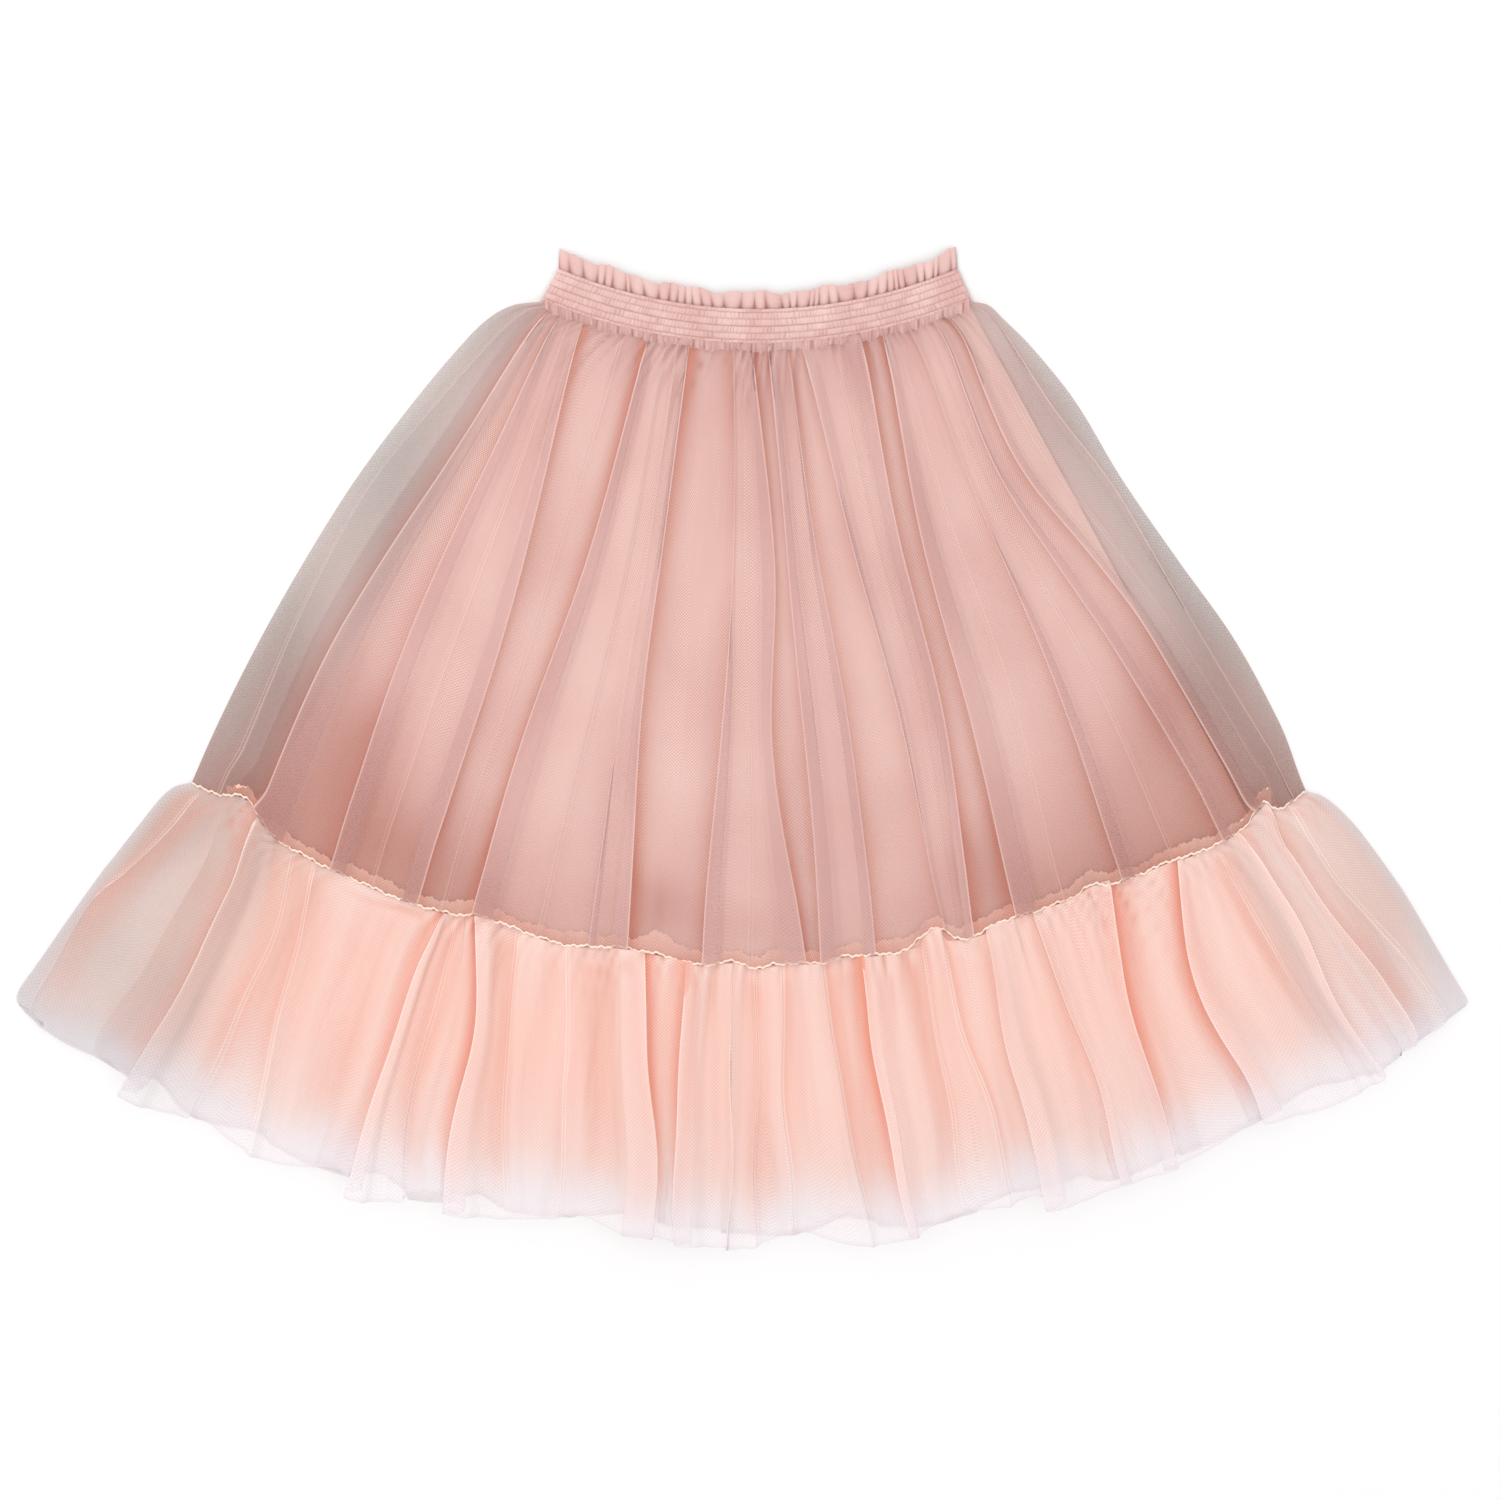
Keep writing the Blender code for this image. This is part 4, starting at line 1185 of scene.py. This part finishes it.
def frill_sheet():
    """The frill over the waistband: puffs of uneven width with narrow creases between them."""
    random = np.random.default_rng(SEED)
    widths = random.uniform(0.45, 1.6, FRILL_PUFFS)
    ends = np.concatenate(([0.0], np.cumsum(widths) / widths.sum())) * 2 - 1
    sizes = random.uniform(0.55, 1.15, FRILL_PUFFS)
    up = np.linspace(0, 1, FRILL_ROWS)[:, None]
    arcs = Arcs(FRILL_SECTIONS, up[:, 0])
    share, is_front = around_tube(FRILL_COLUMNS)
    leaning = share + 0.012 * up * np.sin(19 * share)
    puff = np.clip(np.searchsorted(ends, leaning, side="right") - 1, 0, FRILL_PUFFS - 1)
    within = clipped((leaning - ends[puff]) / (ends[puff + 1] - ends[puff]))
    body = np.sin(np.pi * within) ** 0.45
    high = FRILL_RISE * sizes[puff] * (body * (1 - 0.55 * up) + 0.55 * up)
    x, y = arcs.place(share, FRILL_Y + FRILL_HEIGHT * up)
    wave = ripples_of(FRILL_WAVES, 240 * share, 0.0)
    y = y + up * (wave + 0.5 * body * is_front)
    back_rise = 0.1 + 0.3 * high
    z = tube_height(FRILL_THICKNESS, share, is_front, high * band_ends(share), back_rise)
    crease = 1 - body
    shade = 1.9 * crease**1.3 * (1 - up) ** 1.6 + 0.35 * np.exp(-up / 0.12) + 0.16 * crease
    run = np.linspace(0, FRILL_RUN, share.size)
    fields = {"shade": np.clip(shade, 0, 0.85)}
    frill = make_sheet(
        "waist_frill_cloth", x, y, z, run, FRILL_HEIGHT * up, fields, band_cloth, joined=True
    )
    return dress(frill, "band", "waist_frill")


waistband = band_sheet()
frill = frill_sheet()


# Sewing

def ribbon(name, path, widths, lift, crinkle, material):
    """A narrow strip along a path of points, from widths[0] above it to widths[1] below it."""
    x, y, z = path
    rows = np.linspace(0, 1, 5)[:, None]
    strip_y = y + widths[0] + (widths[1] - widths[0]) * rows + crinkle
    strip_z = z + lift * np.sin(np.pi * (0.15 + 0.7 * rows))
    run = np.concatenate(([0.0], np.cumsum(np.hypot(np.diff(x), np.diff(y)))))
    fields = {"shade": 0.5 * np.abs(2 * rows - 1) ** 2}
    strip = make_sheet(name, x, strip_y, strip_z, run, 2.0 * rows, fields, material)
    return dress(strip, "flounce_tulle")


def rough(run, sizes):
    """An uneven line: (length, height) waves added together."""
    return sum(height * np.sin(2 * np.pi * run / length + length) for length, height in sizes)


STRIP_COLUMNS = 1500


def seam_line(height):
    """Points along the seam over the flounce."""
    arcs = Arcs(SKIRT_SECTIONS, np.ones(1))
    share = np.linspace(-1, 1, STRIP_COLUMNS)[None, :]
    x, y = arcs.place(share, WAIST_SEAM_Y - SKIRT_LENGTH)
    return x[0], y[0] - seam_sag(x[0]), height(share[0]), share[0]


def heading():
    """The crinkled line where the flounce is gathered onto the skirt."""
    x, y, z, share = seam_line(lambda across: front_height(across, 1.0))
    run = np.linspace(0, 740, len(x))
    crinkle = rough(run, ((23.0, 0.45), (9.0, 0.4), (4.3, 0.3)))
    bumps = 0.6 * FLOUNCE_PUCKERS.rise * gathers_at(FLOUNCE_PUCKERS, share, 0.0)[1]
    path = (x, y + 0.3, z + 1.0 + bumps)
    return ribbon("flounce_heading", path, (0.75, -0.65), 0.7, crinkle, heading_cloth)


ALLOWANCE_DEPTH = 7.0
TUFT_X = -49.0
TUFT_WIDTH = 11.0
TUFT_HEIGHT = 5.5


def allowance():
    """The raw edges of the seam, turned up behind the net and showing through it."""
    x, y, z, share = seam_line(lambda across: INNER_FRONT.loft * loft_share(across, 1.0))
    kept = np.abs(share) < 0.93
    x, y, z = x[kept], y[kept], z[kept]
    run = np.linspace(0, 640, len(x))
    tall = ALLOWANCE_DEPTH + rough(run, ((61.0, 1.2), (23.0, 0.7), (8.3, 0.6), (3.1, 0.4)))
    tall = tall + TUFT_HEIGHT * np.exp(-(((x - TUFT_X) / TUFT_WIDTH) ** 2))
    rows = np.linspace(0, 1, 7)[:, None]
    strip_y = y + 0.3 + tall * rows
    wave = rough(run, ((17.0, 0.5), (6.0, 0.3)))
    strip_z = INNER_FRONT.base + z + 0.9 + wave * rows + 1.2 * rows
    fields = {"shade": 0.35 - 0.35 * rows**3}
    strip = make_sheet(
        "seam_allowance", x, strip_y, strip_z, run, tall * rows, fields, allowance_cloth
    )
    return dress(strip, "lining")


STITCH_LENGTH = 1.7
STITCH_GAP = 0.75
STITCH_RADIUS = 0.2
STITCH_RINGS = 5
STITCH_SPOKES = 6


def stitch_rows():
    """The running stitches of elastic thread between the waistband's ribs."""
    turn = np.linspace(0, 2 * np.pi, STITCH_SPOKES, endpoint=False)
    length = np.linspace(-1, 1, STITCH_RINGS)[:, None]
    radius = STITCH_RADIUS * np.sqrt(1.05 - length**2)
    run = length * STITCH_LENGTH / 2
    one_stitch = grid_faces(STITCH_RINGS, STITCH_SPOKES, joined=True)
    points, faces = [], []
    for height in STITCH_ROWS_UP:
        arcs = Arcs(BAND_SECTIONS, np.array([height]))
        count = int(2 * arcs.half[0, 0] / (STITCH_LENGTH + STITCH_GAP))
        share = (np.arange(count) + 0.5) / count * 1.96 - 0.98
        x, y = arcs.place(share[None, :], BAND_Y + 0.25 + (BAND_HEIGHT - 0.5) * height)
        lean = np.gradient(y[0], x[0])
        top = BAND_THICKNESS / 2 * (1 + band_ends(share)) - 0.22
        for i in range(count):
            rings = np.broadcast_arrays(
                x[0, i] + run,
                y[0, i] + run * lean[i] + radius * np.cos(turn),
                top[i] + radius * (1 + np.sin(turn)) * 0.8,
            )
            faces.append(one_stitch + len(points) * STITCH_RINGS * STITCH_SPOKES)
            points.append(np.stack(rings, axis=-1).reshape(-1, 3))
    points, faces = np.concatenate(points), np.concatenate(faces)
    fields = {"shade": np.full(len(points), 0.6)}
    stitches = make_mesh("shirring_stitches", points, faces, points[:, :2], fields, band_cloth)
    return dress(stitches, "band")


EDGE_DEPTH = 4.6
EDGE_RISE = 1.1


def gathered_edge():
    """The net's edge, drawn up in tiny puffs and knots along the foot of the waistband."""
    share = np.linspace(-0.985, 0.985, STRIP_COLUMNS)[None, :]
    rows = np.linspace(0, 1, 9)[:, None]
    arcs = Arcs(BAND_SECTIONS, np.zeros(1))
    x, y = arcs.place(share, BAND_Y)
    run = np.linspace(0, 262, share.shape[1])
    reach = EDGE_DEPTH + rough(run, ((31.0, 0.7), (9.7, 0.5), (4.1, 0.35)))
    puff = rough(run, ((7.3, 0.4), (4.7, 0.4), (3.1, 0.35), (2.2, 0.25)))
    second = rough(run, ((11.9, 0.4), (5.9, 0.4), (3.7, 0.4), (2.6, 0.3)))
    body = np.sin(np.pi * (0.12 + 0.88 * rows)) ** 0.6
    strip_x = x + 0.5 * second * rows
    strip_y = y + 1.0 - (reach + 1.0) * rows
    top = BAND_THICKNESS - 0.2
    strip_z = top + 1.4 * rows + body * (0.6 + EDGE_RISE * (0.45 * puff + 0.35 * second * rows))
    # Painted shade in the troughs between the puffs and, by knots, in the gaps between the knots; bend
    # paints a highlight on the puffs.
    shade = 0.1 + 0.7 * clipped(-0.6 * puff - 0.5 * second) ** 1.5
    knots = clipped(puckers(share, 119, 0.4) * puckers(share, 47, 5.0))
    shade = shade + 0.6 * knots * np.exp(-(((rows - 0.75) / 0.17) ** 2))
    fields = {
        "shade": np.clip(shade, 0, 0.85), "bend": 0.5 * clipped(puff) * rows,
        "veil": 0.9 - 0.7 * rows**2, "dense": 1.0,
    }
    strip = make_sheet(
        "gathered_edge", strip_x, strip_y, strip_z, run, 8 * rows, fields, tulle_cloth
    )
    return dress(strip, "tulle")


heading_strip = heading()
edge_strip = gathered_edge()
allowance_strip = allowance()
stitches = stitch_rows()


# The sheer pieces cast no shadows


for sheer in (skirt_front, skirt_back, flounce_front, flounce_back, edge_strip, *inner_flounces):
    sheer.visible_shadow = False


# Floor, light and camera

FLOOR_SIZE = 12.0  # metres
FLOOR_COLOUR = (0.92, 0.92, 0.925, 1.0)
FLOOR_ROUGHNESS = 0.9
SKY_COLOUR = (1.0, 0.99, 0.985, 1.0)
SKY_STRENGTH = 0.86

# A square lamp that faces the middle of the garment. Places and sizes are in metres.
Lamp = namedtuple("Lamp", "name place size watts colour")
LAMPS = table(Lamp, (
    ("key", (-1.5, 1.3, 2.0), 1.6, 26.0, (1.0, 0.98, 0.96)),
    ("fill", (1.8, -0.6, 1.8), 2.0, 8.0, (0.97, 0.98, 1.0)),
))

# The camera looks straight down over PHOTO_CENTRE, at a strip of the floor this wide.
PHOTO_WIDTH = 900.0
PHOTO_CENTRE = (5.7, -3.0)
CAMERA_HEIGHT = 3000.0
SENSOR = 36.0
FARTHEST_SEEN = 50.0  # metres


def add_floor():
    bpy.ops.mesh.primitive_plane_add(size=FLOOR_SIZE, location=(0, 0, 0))
    floor = bpy.context.object
    floor.name = "floor"
    floor.data.materials.append(Shader("floor_paper").finish(FLOOR_COLOUR, FLOOR_ROUGHNESS))


def direction(aim):
    """The rotation that points a lamp along aim."""
    flat = math.hypot(aim[0], aim[1])
    return (math.atan2(flat, -aim[2]), 0.0, math.atan2(aim[1], aim[0]) - math.pi / 2)


def add_lamp(lamp):
    light = bpy.data.lights.new(lamp.name, "AREA")
    light.shape = "SQUARE"
    light.size = lamp.size
    light.energy = lamp.watts
    light.color = lamp.colour
    holder = bpy.data.objects.new(lamp.name, light)
    holder.location = lamp.place
    holder.rotation_euler = direction(-np.array(lamp.place))
    bpy.context.scene.collection.objects.link(holder)


def add_camera():
    camera = bpy.data.cameras.new("camera")
    camera.sensor_width = SENSOR
    camera.lens = SENSOR * CAMERA_HEIGHT / PHOTO_WIDTH
    camera.clip_end = FARTHEST_SEEN
    holder = bpy.data.objects.new("camera", camera)
    holder.location = (PHOTO_CENTRE[0] * MM, PHOTO_CENTRE[1] * MM, CAMERA_HEIGHT * MM)
    bpy.context.scene.collection.objects.link(holder)
    bpy.context.scene.camera = holder


def add_world():
    world = bpy.data.worlds.new("studio")
    world.use_nodes = True
    background = world.node_tree.nodes["Background"]
    background.inputs["Color"].default_value = SKY_COLOUR
    background.inputs["Strength"].default_value = SKY_STRENGTH
    bpy.context.scene.world = world


add_floor()
for lamp in LAMPS:
    add_lamp(lamp)
add_camera()
add_world()
scene = bpy.context.scene
scene.view_settings.view_transform = "Standard"
scene.cycles.transparent_max_bounces = 32
scene.cycles.diffuse_bounces = 2
scene.cycles.max_bounces = 3
